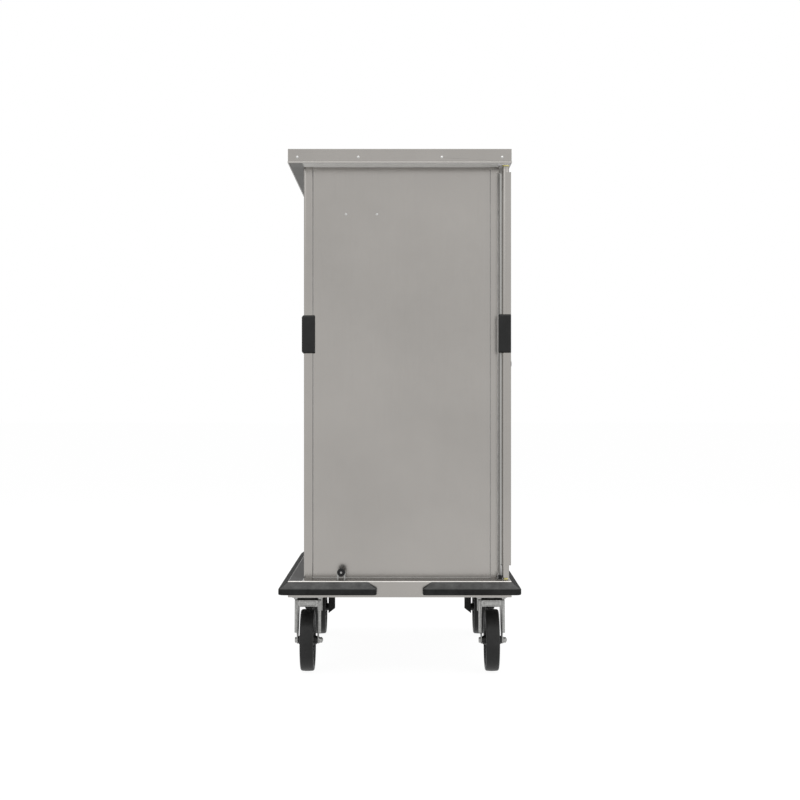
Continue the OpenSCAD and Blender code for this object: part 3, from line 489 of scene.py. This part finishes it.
def add_lathe(bm, profile, centre, axis, segments=48):
    """Turns a closed section of (radius, height) points round an axis, X, Y or Z."""
    rings = []
    for r, h in profile:
        if r < ON_AXIS:
            place = [0.0, 0.0, 0.0]
            place[axis] = h
            rings.append([bm.verts.new(Vector(centre) + Vector(place))])
            continue
        ring = []
        for i in range(segments):
            a = 2 * math.pi * i / segments
            place = [0.0, 0.0, 0.0]
            place[axis] = h
            place[(axis + 1) % 3] = r * math.cos(a)
            place[(axis + 2) % 3] = r * math.sin(a)
            ring.append(bm.verts.new(Vector(centre) + Vector(place)))
        rings.append(ring)
    loop = profile[0][0] > ON_AXIS
    for k in range(len(rings) if loop else len(rings) - 1):
        a, b = rings[k], rings[(k + 1) % len(rings)]
        for i in range(segments):
            j = (i + 1) % segments
            corners = [a[i % len(a)], a[j % len(a)], b[j % len(b)], b[i % len(b)]]
            corners = list(dict.fromkeys(corners))
            if len(corners) > 2:
                bm.faces.new(corners)


def add_box(bm, low, high, round_by):
    """A box between two corners with all its edges rounded."""
    size = Vector(high) - Vector(low)
    middle = (Vector(high) + Vector(low)) / 2
    place = Matrix.Translation(middle) @ Matrix.Diagonal((*size, 1))
    made = bmesh.ops.create_cube(bm, size=1, matrix=place)
    edges = {e for v in made["verts"] for e in v.link_edges}
    bmesh.ops.bevel(bm, geom=list(edges), offset=round_by, segments=BOX_SEGMENTS, profile=0.5,
                    affect="EDGES", clamp_overlap=True)


def arc(cx, cy, r, a0, a1, n):
    """The n + 1 points of an arc between two angles in degrees."""
    return [(cx + r * math.cos(math.radians(a0 + (a1 - a0) * i / n)),
             cy + r * math.sin(math.radians(a0 + (a1 - a0) * i / n))) for i in range(n + 1)]


def add_frame(bm, section, plane, side, u0, u1, z0, z1, across):
    """Sweeps a section round an upright rectangle with mitred corners.

    The section's points are (inwards from the rectangle, out from the plane). The plane
    lies at one value of the axis across, and side says which way it faces."""
    rings = []
    for inward, out in section:
        ring = []
        for u, z in ((u0 + inward, z0 + inward), (u1 - inward, z0 + inward),
                     (u1 - inward, z1 - inward), (u0 + inward, z1 - inward)):
            place = [u, u, z]
            place[across] = plane + side * out
            ring.append(bm.verts.new(place))
        rings.append(ring)
    for a, b in zip(rings, rings[1:] + rings[:1]):
        join_rings(bm, a, b)


def mirrored(side, a, b):
    """Two distances from the middle as a range on one side of it, lowest first."""
    return sorted((side * a, side * b))


def box_mm(node):
    """A node's box as its lower and upper corner in millimetres."""
    low_corner, high_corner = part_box(node)
    return [v / MM for v in low_corner], [v / MM for v in high_corner]


# ---------- Base and bumper ----------

deck_low, deck_high = box_mm("base_deck")
post_low, post_high = box_mm("rear_posts")
BACK_X, END_Y = post_low[0], post_high[1]
HALF_X, HALF_Y = deck_high[0], deck_high[1]
EDGE_Z, DECK_Z = deck_low[2], deck_high[2]


SHEET_T, FOLD_R, FOLD_STEPS = 2.0, 3.4, 5


def plan_ring(bm, out, z):
    """The corners of the base plate's outline, moved out by some millimetres, at one height."""
    x, y = HALF_X + out, HALF_Y + out
    return [bm.verts.new(p) for p in ((-x, -y, z), (x, -y, z), (x, y, z), (-x, y, z))]


def add_tray(bm, rows):
    """One side of a folded sheet, from its rim to its closed top, and the rim for joining."""
    rings = [plan_ring(bm, -inset, z) for inset, z in rows]
    for a, b in zip(rings, rings[1:]):
        join_rings(bm, a, b)
    bm.faces.new(rings[-1])
    return rings[0]


def make_deck():
    """The base plate: one sheet with rounded folds, open below. Its back ledge is matt dark grey, a
    painted dark reflection, and its end folds are paler steel, a painted highlight.
    """
    outer = [(0, EDGE_Z)]
    for i in range(FOLD_STEPS + 1):
        turn = math.radians(90 * i / FOLD_STEPS)
        outer.append((FOLD_R * (1 - math.cos(turn)), DECK_Z - FOLD_R * (1 - math.sin(turn))))
    under = DECK_Z - SHEET_T
    inner = [(SHEET_T, EDGE_Z), (SHEET_T, under - 1.4), (SHEET_T + 0.5, under - 0.4), (FOLD_R, under)]
    bm = bmesh.new()
    rim_out = add_tray(bm, outer)
    rim_in = add_tray(bm, inner)
    join_rings(bm, rim_out, rim_in)
    bmesh.ops.bisect_plane(bm, geom=bm.verts[:] + bm.edges[:] + bm.faces[:],
                           plane_co=(BACK_X, 0, 0), plane_no=(1, 0, 0))
    for face in bm.faces:
        middle = face.calc_center_median()
        # Back ledge: a painted dark reflection in matt dark grey.
        if middle.x < BACK_X and middle.z > DECK_Z - 0.1:
            face.material_index = 1
        # End folds: a painted highlight in paler steel.
        elif DECK_Z - FOLD_R < middle.z < DECK_Z - 0.01 and HALF_Y - FOLD_R < abs(middle.y):
            face.material_index = 2
    mats = [steel_cross, ledge_painted_dark_reflection, fold_painted_highlight]
    new_piece("deck_sheet", bm, mats, "cart_body", ["base_deck"])


BUMPER_REACH = 30.0
BUMPER_CORNER_R = 20
ARM_CORNER_R = 9
ARM_START = 73.4
ARM_SLOPE = 0.95
FACE_H = 20.5
FOOT_R = 3


def bumper_line(out, start, side):
    """The bumper's course in plan at one distance from the base, from arm end to arm end."""
    cart_r = BUMPER_CORNER_R * out / BUMPER_REACH
    end_r = ARM_CORNER_R * out / BUMPER_REACH
    x, y = HALF_X + out, HALF_Y + out
    line = [(start, -HALF_Y)]
    line += arc(start + end_r, -y + end_r, end_r, 180, 270, 6)
    line += [(start + (x - start) * t, -y) for t in (0.25, 0.5, 0.75)]
    line += arc(x - cart_r, -y + cart_r, cart_r, -90, 0, 8)
    line += [(x, y * t) for t in (-0.6, -0.3, 0, 0.3, 0.6)]
    line += arc(x - cart_r, y - cart_r, cart_r, 0, 90, 8)
    line += [(start + (x - start) * t, y) for t in (0.75, 0.5, 0.25)]
    line += arc(start + end_r, y - end_r, end_r, 90, 180, 6)
    line += [(start, HALF_Y)]
    return [(side * px, py) for px, py in line]


def make_bumper(node, side):
    """One U of the bumper: a rounded upright face, a slope to the base, sloped arm ends."""
    low_corner, high_corner = box_mm(node)
    z0, z1 = low_corner[2], high_corner[2]
    reach = BUMPER_REACH
    face = z0 + FACE_H
    fall = z1 - face
    foot = arc(reach - FOOT_R, z0 + FOOT_R, FOOT_R, -60, 0, 2)
    section = [(0.0, z0), (reach - FOOT_R, z0)] + foot
    section += [(reach, face - 4.5), (reach - 0.35, face - 2.2)]
    section += [(reach - 1.5, face - 0.3), (reach - 3.6, face + 1.7)]
    section += [(reach * (1 - t), face + fall * t) for t in (0.35, 0.6, 0.85)]
    section += [(1.6, z1 - 0.6), (0.0, z1)]
    bm = bmesh.new()
    lines = []
    for out, z in section:
        slope = max(0.0, (z - face) / fall) * ARM_SLOPE * reach
        below = 1 - min(1, (z - z0) / FOOT_R)
        foot_in = FOOT_R - FOOT_R * math.sqrt(max(0, 1 - below ** 2))
        start = ARM_START + slope + foot_in
        lines.append([(x, y, z) for x, y in bumper_line(out, start, side)])
    add_rail(bm, lines)
    name = "bumper_moulding_" + node.split("_")[1]
    new_piece(name, bm, black_bumper, "cart_body", [node])


make_deck()
make_bumper("bumper_back", -1)
make_bumper("bumper_front", 1)

# ---------- Posts, seams and roof ----------

end_low, end_high = box_mm("end_wall_near")
back_low = box_mm("back_wall")[0]
frame_low, frame_high = box_mm("door_frame")
lid_low = box_mm("roof_lid")[0]
SOFFIT_Z = end_high[2]
POST_W = end_low[0] - BACK_X
PANEL_Y = -end_low[1]
ROOF_RIVET_X, ROOF_RIVET_UP = (-326, -132, 134, 326), 19
WALL_RIVET_X, WALL_RIVET_DOWN = (-174, -74), 152


POST_OUTER = (7, 2.6, 0.8, 2.6)
POST_INNER = (5, 0.9, 0.4, 0.9)
POST_T = 2


def rounded_outline(x0, y0, x1, y1, radii):
    """A rectangle whose corners, from the lowest one on, are rounded by four radii."""
    spots = ((x0, y0, 180, 1, 1), (x1, y0, 270, -1, 1), (x1, y1, 0, -1, -1), (x0, y1, 90, 1, -1))
    line = []
    for (cx, cy, start, sx, sy), r in zip(spots, radii):
        line += arc(cx + sx * r, cy + sy * r, r, start, start + 90, CORNER_STEPS)
    return line


def make_posts():
    """Square tubes at the back corners, rounded most at the cart's own corners."""
    bm = bmesh.new()
    for side in (-1, 1):
        loops = []
        for inset, radii in ((0, POST_OUTER), (POST_T, POST_INNER)):
            line = rounded_outline(BACK_X + inset, -END_Y + inset, BACK_X + POST_W - inset,
                                   -END_Y + POST_W - inset, radii)
            loops.append([(x, -side * y) for x, y in line])
        rows = []
        for z in (DECK_Z, SOFFIT_Z):
            for loop in loops:
                rows.append([bm.verts.new((x, y, z)) for x, y in loop])
        low_out, low_in, high_out, high_in = rows
        for a, b in ((low_out, high_out), (low_in, high_in), (low_out, low_in), (high_out, high_in)):
            join_rings(bm, a, b)
    new_piece("post_tubes", bm, steel_up, "cart_body", ["rear_posts"])


def make_seams():
    """Thin grey beads of sealant in the corners round each wall panel; they also paint the shadow line of
    each joint.
    """
    bead = [(0, 0), (1.9, 0), (1.6, 0.5), (1.0, 1.0), (0.5, 1.35), (0, 1.5)]
    bm = bmesh.new()
    for side in (-1, 1):
        add_frame(bm, bead, side * PANEL_Y, side, end_low[0], frame_low[0], DECK_Z, SOFFIT_Z, 1)
    add_frame(bm, bead, back_low[0], -1, -END_Y + POST_W, END_Y - POST_W, DECK_Z, SOFFIT_Z, 0)
    new_piece("wall_seam_beads_and_shade", bm, seam_bead_and_shade, "cart_body")


def make_rivet_heads():
    """The domed head of each blind rivet, hollow in the middle."""
    bm = bmesh.new()
    spots = [(x, HALF_Y, SOFFIT_Z + ROOF_RIVET_UP) for x in ROOF_RIVET_X]
    spots += [(x, PANEL_Y, SOFFIT_Z - WALL_RIVET_DOWN) for x in WALL_RIVET_X]
    profile = [(0, 0), (3.9, 0), (3.9, 0.35), (3.3, 0.7), (2.2, 1.45), (1.5, 1.75), (1.15, 1.7),
               (1.0, 0.9), (0, 0.9)]
    for x, y, z in spots:
        for side in (-1, 1):
            add_lathe(bm, [(r, side * h) for r, h in profile], (x, side * y, z), 1, 20)
    new_piece("rivet_heads", bm, rivet_metal, "cart_body", ["rivets"])


def make_roof_hem():
    """The folded hem along the roof's lower edge, a flat roll with rounded sides."""
    bottom = lid_low[2]
    section = [(-0.3, bottom + 0.1), (0.4, bottom + 0.1), (0.9, bottom + 0.9), (1.0, bottom + 2.6),
               (0.9, bottom + 4.6), (0.4, bottom + 5.6), (-0.3, bottom + 5.8)]
    bm = bmesh.new()
    rings = [plan_ring(bm, out, z) for out, z in section]
    for a, b in zip(rings, rings[1:] + rings[:1]):
        join_rings(bm, a, b)
    # The hem's paler steel is a painted highlight.
    new_piece("roof_hem", bm, hem_painted_highlight, "cart_body")


make_posts()
make_seams()
make_rivet_heads()
make_roof_hem()

# ---------- Doors ----------

PLATE_IN, PLATE_OUT = 30, 13.5
LOWER_PLATE_T, UPPER_PLATE_T = 1.6, 2.5
PLATE_SCREW_X, PLATE_SCREW_Y = 8, 22
STOP_H, STOP_REACH, STOP_INSET = 20, 8.6, (3, 0.4)
STRIP_REACH, STRIP_INSET = 3.0, (1.8, 0.3)
# The black blocks beside the lower bushes paint the shadow in the gap there.
BLOCK_X, BLOCK_Y, BLOCK_UP, BLOCK_H = (-22.5, -12), (-11, 3), 1.5, 13.5
BLOCK_FOOT_X, BLOCK_FOOT_H = (-24, -11.6), 2
LEAF_EDGE_OUT, LEAF_EDGE_IN = 0.3, 1.4
ROSE_SCREW, ROSE_SCREW_SINK = 14.5, 0.4
GRIP_RIBS, GRIP_PITCH, GRIP_START = 7, 7, 14
GRIP_HALF_W, GRIP_HALF_H = 1.2, 6.2
DOORS = (("near", -1), ("far", 1))


def make_gasket(end):
    """The door seal: a flange on the leaf, a hollow bulb, and a lip that reaches to the door's edge."""
    low_corner, high_corner = box_mm("door_seal_" + end)
    pan, front = high_corner[0], low_corner[0]
    deep = pan - front
    section = [(0, 0), (10, 0), (10, 1.6), (8.6, 2.4)]
    section += [(5 + 3.6 * math.cos(math.radians(a)), 3 + (deep - 3) * math.sin(math.radians(a)))
                for a in range(15, 180, 15)]
    section += [(0.6, 2.8), (-1.2, 3.6), (-3.0, deep - 1.4), (-5.0, deep - 0.2), (-9.4, deep - 0.2),
                (-10.6, deep - 1.2), (-10.9, deep / 2), (-10.6, 1.4), (-9.6, 0.5), (-1.5, 0.0)]
    bm = bmesh.new()
    add_frame(bm, section, pan, -1, low_corner[1], high_corner[1], low_corner[2], high_corner[2], 0)
    # Its pale grey is partly painted light for the shaded gap.
    new_piece("door_gasket_" + end, bm, gasket_grey_and_painted_light, "door_" + end, ["door_seal_" + end])


def make_hinge_edge(end, side):
    """The leaf's welded edge strip, tangent to the hinge tube."""
    tube_low, tube_high = box_mm("hinge_tube_" + end)
    skin_low, skin_high = box_mm("door_skin_" + end)
    middle = (tube_low[0] + tube_high[0]) / 2
    edge = min(tube_low[1], skin_low[1]) if side < 0 else max(tube_high[1], skin_high[1])
    ys = sorted((edge + side * LEAF_EDGE_OUT, edge - side * LEAF_EDGE_IN))
    bm = bmesh.new()
    low_corner = (middle + 0.6, ys[0], skin_low[2] + 0.4)
    add_box(bm, low_corner, (skin_high[0] - 0.3, ys[1], skin_high[2] - 0.4), 0.35)
    new_piece("hinge_edge_" + end, bm, steel_up, "door_" + end)


def hinge_place():
    """The hinge axes' x, and their distance from the cart's middle along y."""
    tube_low, tube_high = box_mm("hinge_tube_near")
    return (tube_low[0] + tube_high[0]) / 2, abs(tube_low[1] + tube_high[1]) / 2


def make_hinge_bushes():
    """Turned brass bushes with rounded rims, and a steel ring round each upper one."""
    low_corner, high_corner = box_mm("hinge_pins")
    x, y = hinge_place()
    z0, z1 = low_corner[2], high_corner[2]
    lower_bush = [(0, 0), (7.1, 0), (7.5, 0.5), (7.5, 6.3), (7, 6.9), (6, 7), (6, 34), (5.2, 35), (0, 35)]
    upper_bush = [(0, 0), (9.4, 0), (10.6, 0.7), (11.1, 2.2), (11.1, 4.6), (10.6, 6.2), (9.6, 6.9),
                  (6, 7), (6, 39), (5.2, 40), (0, 40)]
    ring = [(6.05, 11.9), (10.8, 11.9), (11.15, 11.5), (11.15, 7.6), (10.8, 7.2), (6.05, 7.2)]
    brass_bm, steel_bm = bmesh.new(), bmesh.new()
    for side in (-1, 1):
        spot = (x, side * y, 0)
        add_lathe(brass_bm, [(r, z0 + up) for r, up in lower_bush], spot, 2)
        add_lathe(brass_bm, [(r, z1 - down) for r, down in upper_bush], spot, 2)
        add_lathe(steel_bm, [(r, z1 - down) for r, down in ring], spot, 2)
    new_piece("hinge_bushes", brass_bm, brass, "cart_body", ["hinge_pins"])
    new_piece("hinge_rings", steel_bm, steel_up, "cart_body")


def add_hinge_plates(bm, side):
    """The two plates that hold one door's bushes, each with a screw."""
    x, y = hinge_place()
    front = frame_high[0]
    screw = [(0, 1.4), (2.2, 1.3), (3.4, 0.7), (3.8, 0), (0, 0)]
    ys = mirrored(side, y - PLATE_IN, y + PLATE_OUT)
    for z0, z1, out in ((SOFFIT_Z - UPPER_PLATE_T, SOFFIT_Z, -1), (DECK_Z, DECK_Z + LOWER_PLATE_T, 1)):
        first = len(bm.faces)
        add_box(bm, (front + 1, ys[0], z0), (x + PLATE_OUT, ys[1], z1), 0.7)
        # The upper plate, under the roof, is painted pale: painted light in the roof's shade.
        if out < 0:
            bm.faces.ensure_lookup_table()
            for face in bm.faces[first:]:
                face.material_index = 1
        spot = (front + PLATE_SCREW_X, side * (y - PLATE_SCREW_Y), z1 if out > 0 else z0)
        add_lathe(bm, [(r, out * h) for r, h in screw], spot, 2, 20)


def add_frame_stops(bm, side):
    """A stop at the top of the door frame's outer edge, and a narrow strip down from it."""
    front = frame_high[0]
    top = SOFFIT_Z - STOP_H
    low_y, high_y = mirrored(side, END_Y - STOP_INSET[0], END_Y - STOP_INSET[1])
    add_box(bm, (front - 1, low_y, top), (front + STOP_REACH, high_y, SOFFIT_Z), 0.5)
    low_y, high_y = mirrored(side, END_Y - STRIP_INSET[0], END_Y - STRIP_INSET[1])
    add_box(bm, (front - 0.5, low_y, DECK_Z), (front + STRIP_REACH, high_y, top), 0.4)


def make_hinge_plates():
    """Plates under the roof and on the base, with the frame's stops and strips."""
    bm = bmesh.new()
    for side in (-1, 1):
        add_hinge_plates(bm, side)
        add_frame_stops(bm, side)
    new_piece("hinge_plates", bm, [steel_up, plate_painted_light], "cart_body")


def make_hinge_gap_shade():
    """A black block on a thin foot beside each lower bush: a dark thing that paints the shadow in the gap
    there.
    """
    x, y = hinge_place()
    foot = DECK_Z + BLOCK_UP
    block_x = [x + step for step in BLOCK_X]
    foot_x = [x + step for step in BLOCK_FOOT_X]
    bm = bmesh.new()
    for side in (-1, 1):
        low_y, high_y = mirrored(side, y + BLOCK_Y[0], y + BLOCK_Y[1])
        add_box(bm, (block_x[0], low_y, foot), (block_x[1], high_y, foot + BLOCK_H), 1.2)
        add_box(bm, (foot_x[0], low_y - 1, foot), (foot_x[1], high_y + 1, foot + BLOCK_FOOT_H), 0.6)
    new_piece("hinge_gap_shade", bm, seal_black, "cart_body")


def spindle_place(end):
    """Where a latch's spindle comes out of its plate."""
    low_corner, high_corner = box_mm("latch_rose_" + end)
    return high_corner[0], (low_corner[1] + high_corner[1]) / 2, (low_corner[2] + high_corner[2]) / 2


def make_latch_screws(end):
    """The four screws of the latch plate."""
    x, y, z = spindle_place(end)
    screw = [(0, 0.25), (1.1, 0.25), (1.3, 0.75), (2.4, 0.9), (3.1, 0.6), (3.3, 0), (0, 0)]
    bm = bmesh.new()
    for sy, sz in ((-1, -1), (1, -1), (-1, 1), (1, 1)):
        spot = (x - ROSE_SCREW_SINK, y + sy * ROSE_SCREW, z + sz * ROSE_SCREW)
        add_lathe(bm, screw, spot, 0, 20)
    new_piece("latch_screws_" + end, bm, rivet_metal, "door_" + end)


def make_lever_grip(end, side):
    """The cap over the lever's spindle and the ribs of its grip."""
    _, y, z = spindle_place(end)
    lever_low, lever_high = box_mm("latch_lever_" + end)
    front = lever_high[0]
    tip = lever_high[1] if side > 0 else lever_low[1]
    cap = [(0, 0.9), (3.5, 0.8), (5.2, 0.4), (6.0, -0.2), (0, -0.2)]
    bm = bmesh.new()
    add_lathe(bm, cap, (front, y, z), 0, 28)
    for k in range(GRIP_RIBS):
        rib_y = tip - side * (GRIP_START + GRIP_PITCH * k)
        add_box(bm, (front - 0.6, rib_y - GRIP_HALF_W, z - GRIP_HALF_H),
                (front + 0.7, rib_y + GRIP_HALF_W, z + GRIP_HALF_H), 0.5)
    new_piece("lever_grip_" + end, bm, black_pad, "latch_" + end)


for end, side in DOORS:
    make_gasket(end)
for end, side in DOORS:
    make_hinge_edge(end, side)
make_hinge_bushes()
make_hinge_plates()
make_hinge_gap_shade()
for end, side in DOORS:
    make_latch_screws(end)
    make_lever_grip(end, side)

# ---------- Casters ----------

WHEELS = ("near_back", "near_front", "far_back", "far_front")
SWIVEL_Y = 440.0
CROWN_FACE, CROWN_HALF_W, CROWN_Z = 52, 25, (209.6, 226.2)
NIPPLE_X, NIPPLE_Z = 24, 13.4
HUB_RIBS, RIB_START, RIB_HALF_W = 6, 15, 1.9
AXLE_HEAD_SINK = 0.4


def wheel_centre(wheel):
    """The middle of a wheel in millimetres."""
    low_corner, high_corner = box_mm("tyre_" + wheel)
    return [(a + b) / 2 for a, b in zip(low_corner, high_corner)]


def make_tyre(wheel):
    """A moulded tyre: crowned tread, round shoulders, a bead line and a stepped side wall."""
    centre = wheel_centre(wheel)
    half_wall = [(80, 17.5), (82.5, 20.6), (84, 21.4), (85, 21.1), (85.6, 21.5), (90.5, 22), (92.6, 22)]
    half_wall += [(93.0 + 6.2 * math.sin(math.radians(a)), 15.2 + 6.8 * math.cos(math.radians(a)))
                  for a in range(0, 91, 15)]
    half_wall += [(99.6, 10.0), (99.9, 5.0), (100.0, 0.0)]
    profile = half_wall + [(r, -h) for r, h in half_wall[-2::-1]]
    bm = bmesh.new()
    add_lathe(bm, profile, centre, 0, 128)
    new_piece("tyre_ring_" + wheel, bm, tyre_black, "wheel_" + wheel, ["tyre_" + wheel])


def add_hub_ribs(bm, centre):
    """Six ribs from boss to rim on either side of the hub's web."""
    rib = [(18, 22), (70, 15.2), (70, 5.5), (18, 5.5)]
    for side in (-1, 1):
        for k in range(HUB_RIBS):
            a = math.radians(360 / HUB_RIBS * k + RIB_START)
            c, s = math.cos(a), math.sin(a)
            flanks = []
            for w in (-RIB_HALF_W, RIB_HALF_W):
                line = [(side * h, r * c - w * s, r * s + w * c) for r, h in rib]
                flanks.append([bm.verts.new(Vector(centre) + Vector(p)) for p in line])
            join_rings(bm, *flanks)
            for flank in flanks:
                bm.faces.new(flank)


def make_hub(wheel):
    """A moulded hub: a rim, a dished web with ribs, and a boss."""
    centre = wheel_centre(wheel)
    outer = [(80, 18), (78.6, 18.2), (73, 18), (71.6, 17), (69.5, 8.2), (67, 6.2), (24, 5), (19.5, 7),
             (14.2, 26), (13.6, 28.6), (12.4, 29.9), (6.06, 30)]
    bm = bmesh.new()
    add_lathe(bm, outer + [(r, -h) for r, h in outer[::-1]], centre, 0, 96)
    add_hub_ribs(bm, centre)
    new_piece("hub_moulding_" + wheel, bm, black_hub, "wheel_" + wheel, ["hub_" + wheel])


def make_bearing_covers(wheel):
    """A ring over each bearing and the hub's grease nipple."""
    centre = wheel_centre(wheel)
    ring = [(7.2, 29.6), (11.2, 29.6), (11.6, 30.2), (11.2, 30.7), (8.0, 30.7), (7.2, 30.3)]
    nipple = [(0, 0), (2.6, 0), (2.6, 2.2), (1.7, 2.8), (1.7, 5.0), (2.3, 5.6), (2.0, 7.2), (0, 7.6)]
    bm = bmesh.new()
    for side in (-1, 1):
        add_lathe(bm, [(r, side * h) for r, h in ring], centre, 0, 40)
    add_lathe(bm, nipple, (centre[0] + NIPPLE_X, centre[1], centre[2] + NIPPLE_Z), 2, 16)
    new_piece("bearing_covers_" + wheel, bm, zinc_dark, "wheel_" + wheel)


def swivel_place(wheel):
    """Where a caster's swivel axis meets the floor, in millimetres."""
    fork_low, fork_high = box_mm("fork_" + wheel)
    y = SWIVEL_Y if wheel.startswith("far") else -SWIVEL_Y
    return (fork_low[0] + fork_high[0]) / 2, y, 0


def make_dust_ring(wheel):
    """The dust ring round the swivel bearing."""
    profile = [(33.1, 229.7), (35.2, 229.9), (35.8, 230.8), (34.4, 232.6), (34.6, 234.4),
               (35.6, 235.6), (35.2, 236.7), (33.1, 236.9)]
    bm = bmesh.new()
    add_lathe(bm, profile, swivel_place(wheel), 2, 72)
    new_piece("dust_ring_" + wheel, bm, zinc_dark, "cart_body")


def make_crown_rim(wheel):
    """The crown's pressed rim, a frame on the fork's near face and the axle's domed head."""
    x, y, _ = swivel_place(wheel)
    rim = [(33.4, 224.6), (35.6, 224.8), (36.4, 225.6), (36.4, 228.4), (35.6, 229.3), (33.4, 229.4)]
    edge = [(0, 0), (2.4, 0), (1.9, 0.8), (0.5, 0.8)]
    dome = [(0, 3.4), (2.4, 3.2), (4.6, 2.5), (6.4, 1.3), (7.3, 0), (0, 0)]
    bm = bmesh.new()
    add_lathe(bm, rim, (x, y, 0), 2, 72)
    add_frame(bm, edge, y - CROWN_FACE, -1, x - CROWN_HALF_W, x + CROWN_HALF_W, *CROWN_Z, 1)
    axle_high = box_mm("axle_" + wheel)[1]
    centre = wheel_centre(wheel)
    add_lathe(bm, dome, (axle_high[0] - AXLE_HEAD_SINK, centre[1], centre[2]), 0, 28)
    new_piece("crown_rim_" + wheel, bm, zinc, "swivel_" + wheel)


for wheel in WHEELS:
    make_tyre(wheel)
    make_hub(wheel)
    make_bearing_covers(wheel)
    make_dust_ring(wheel)
    make_crown_rim(wheel)
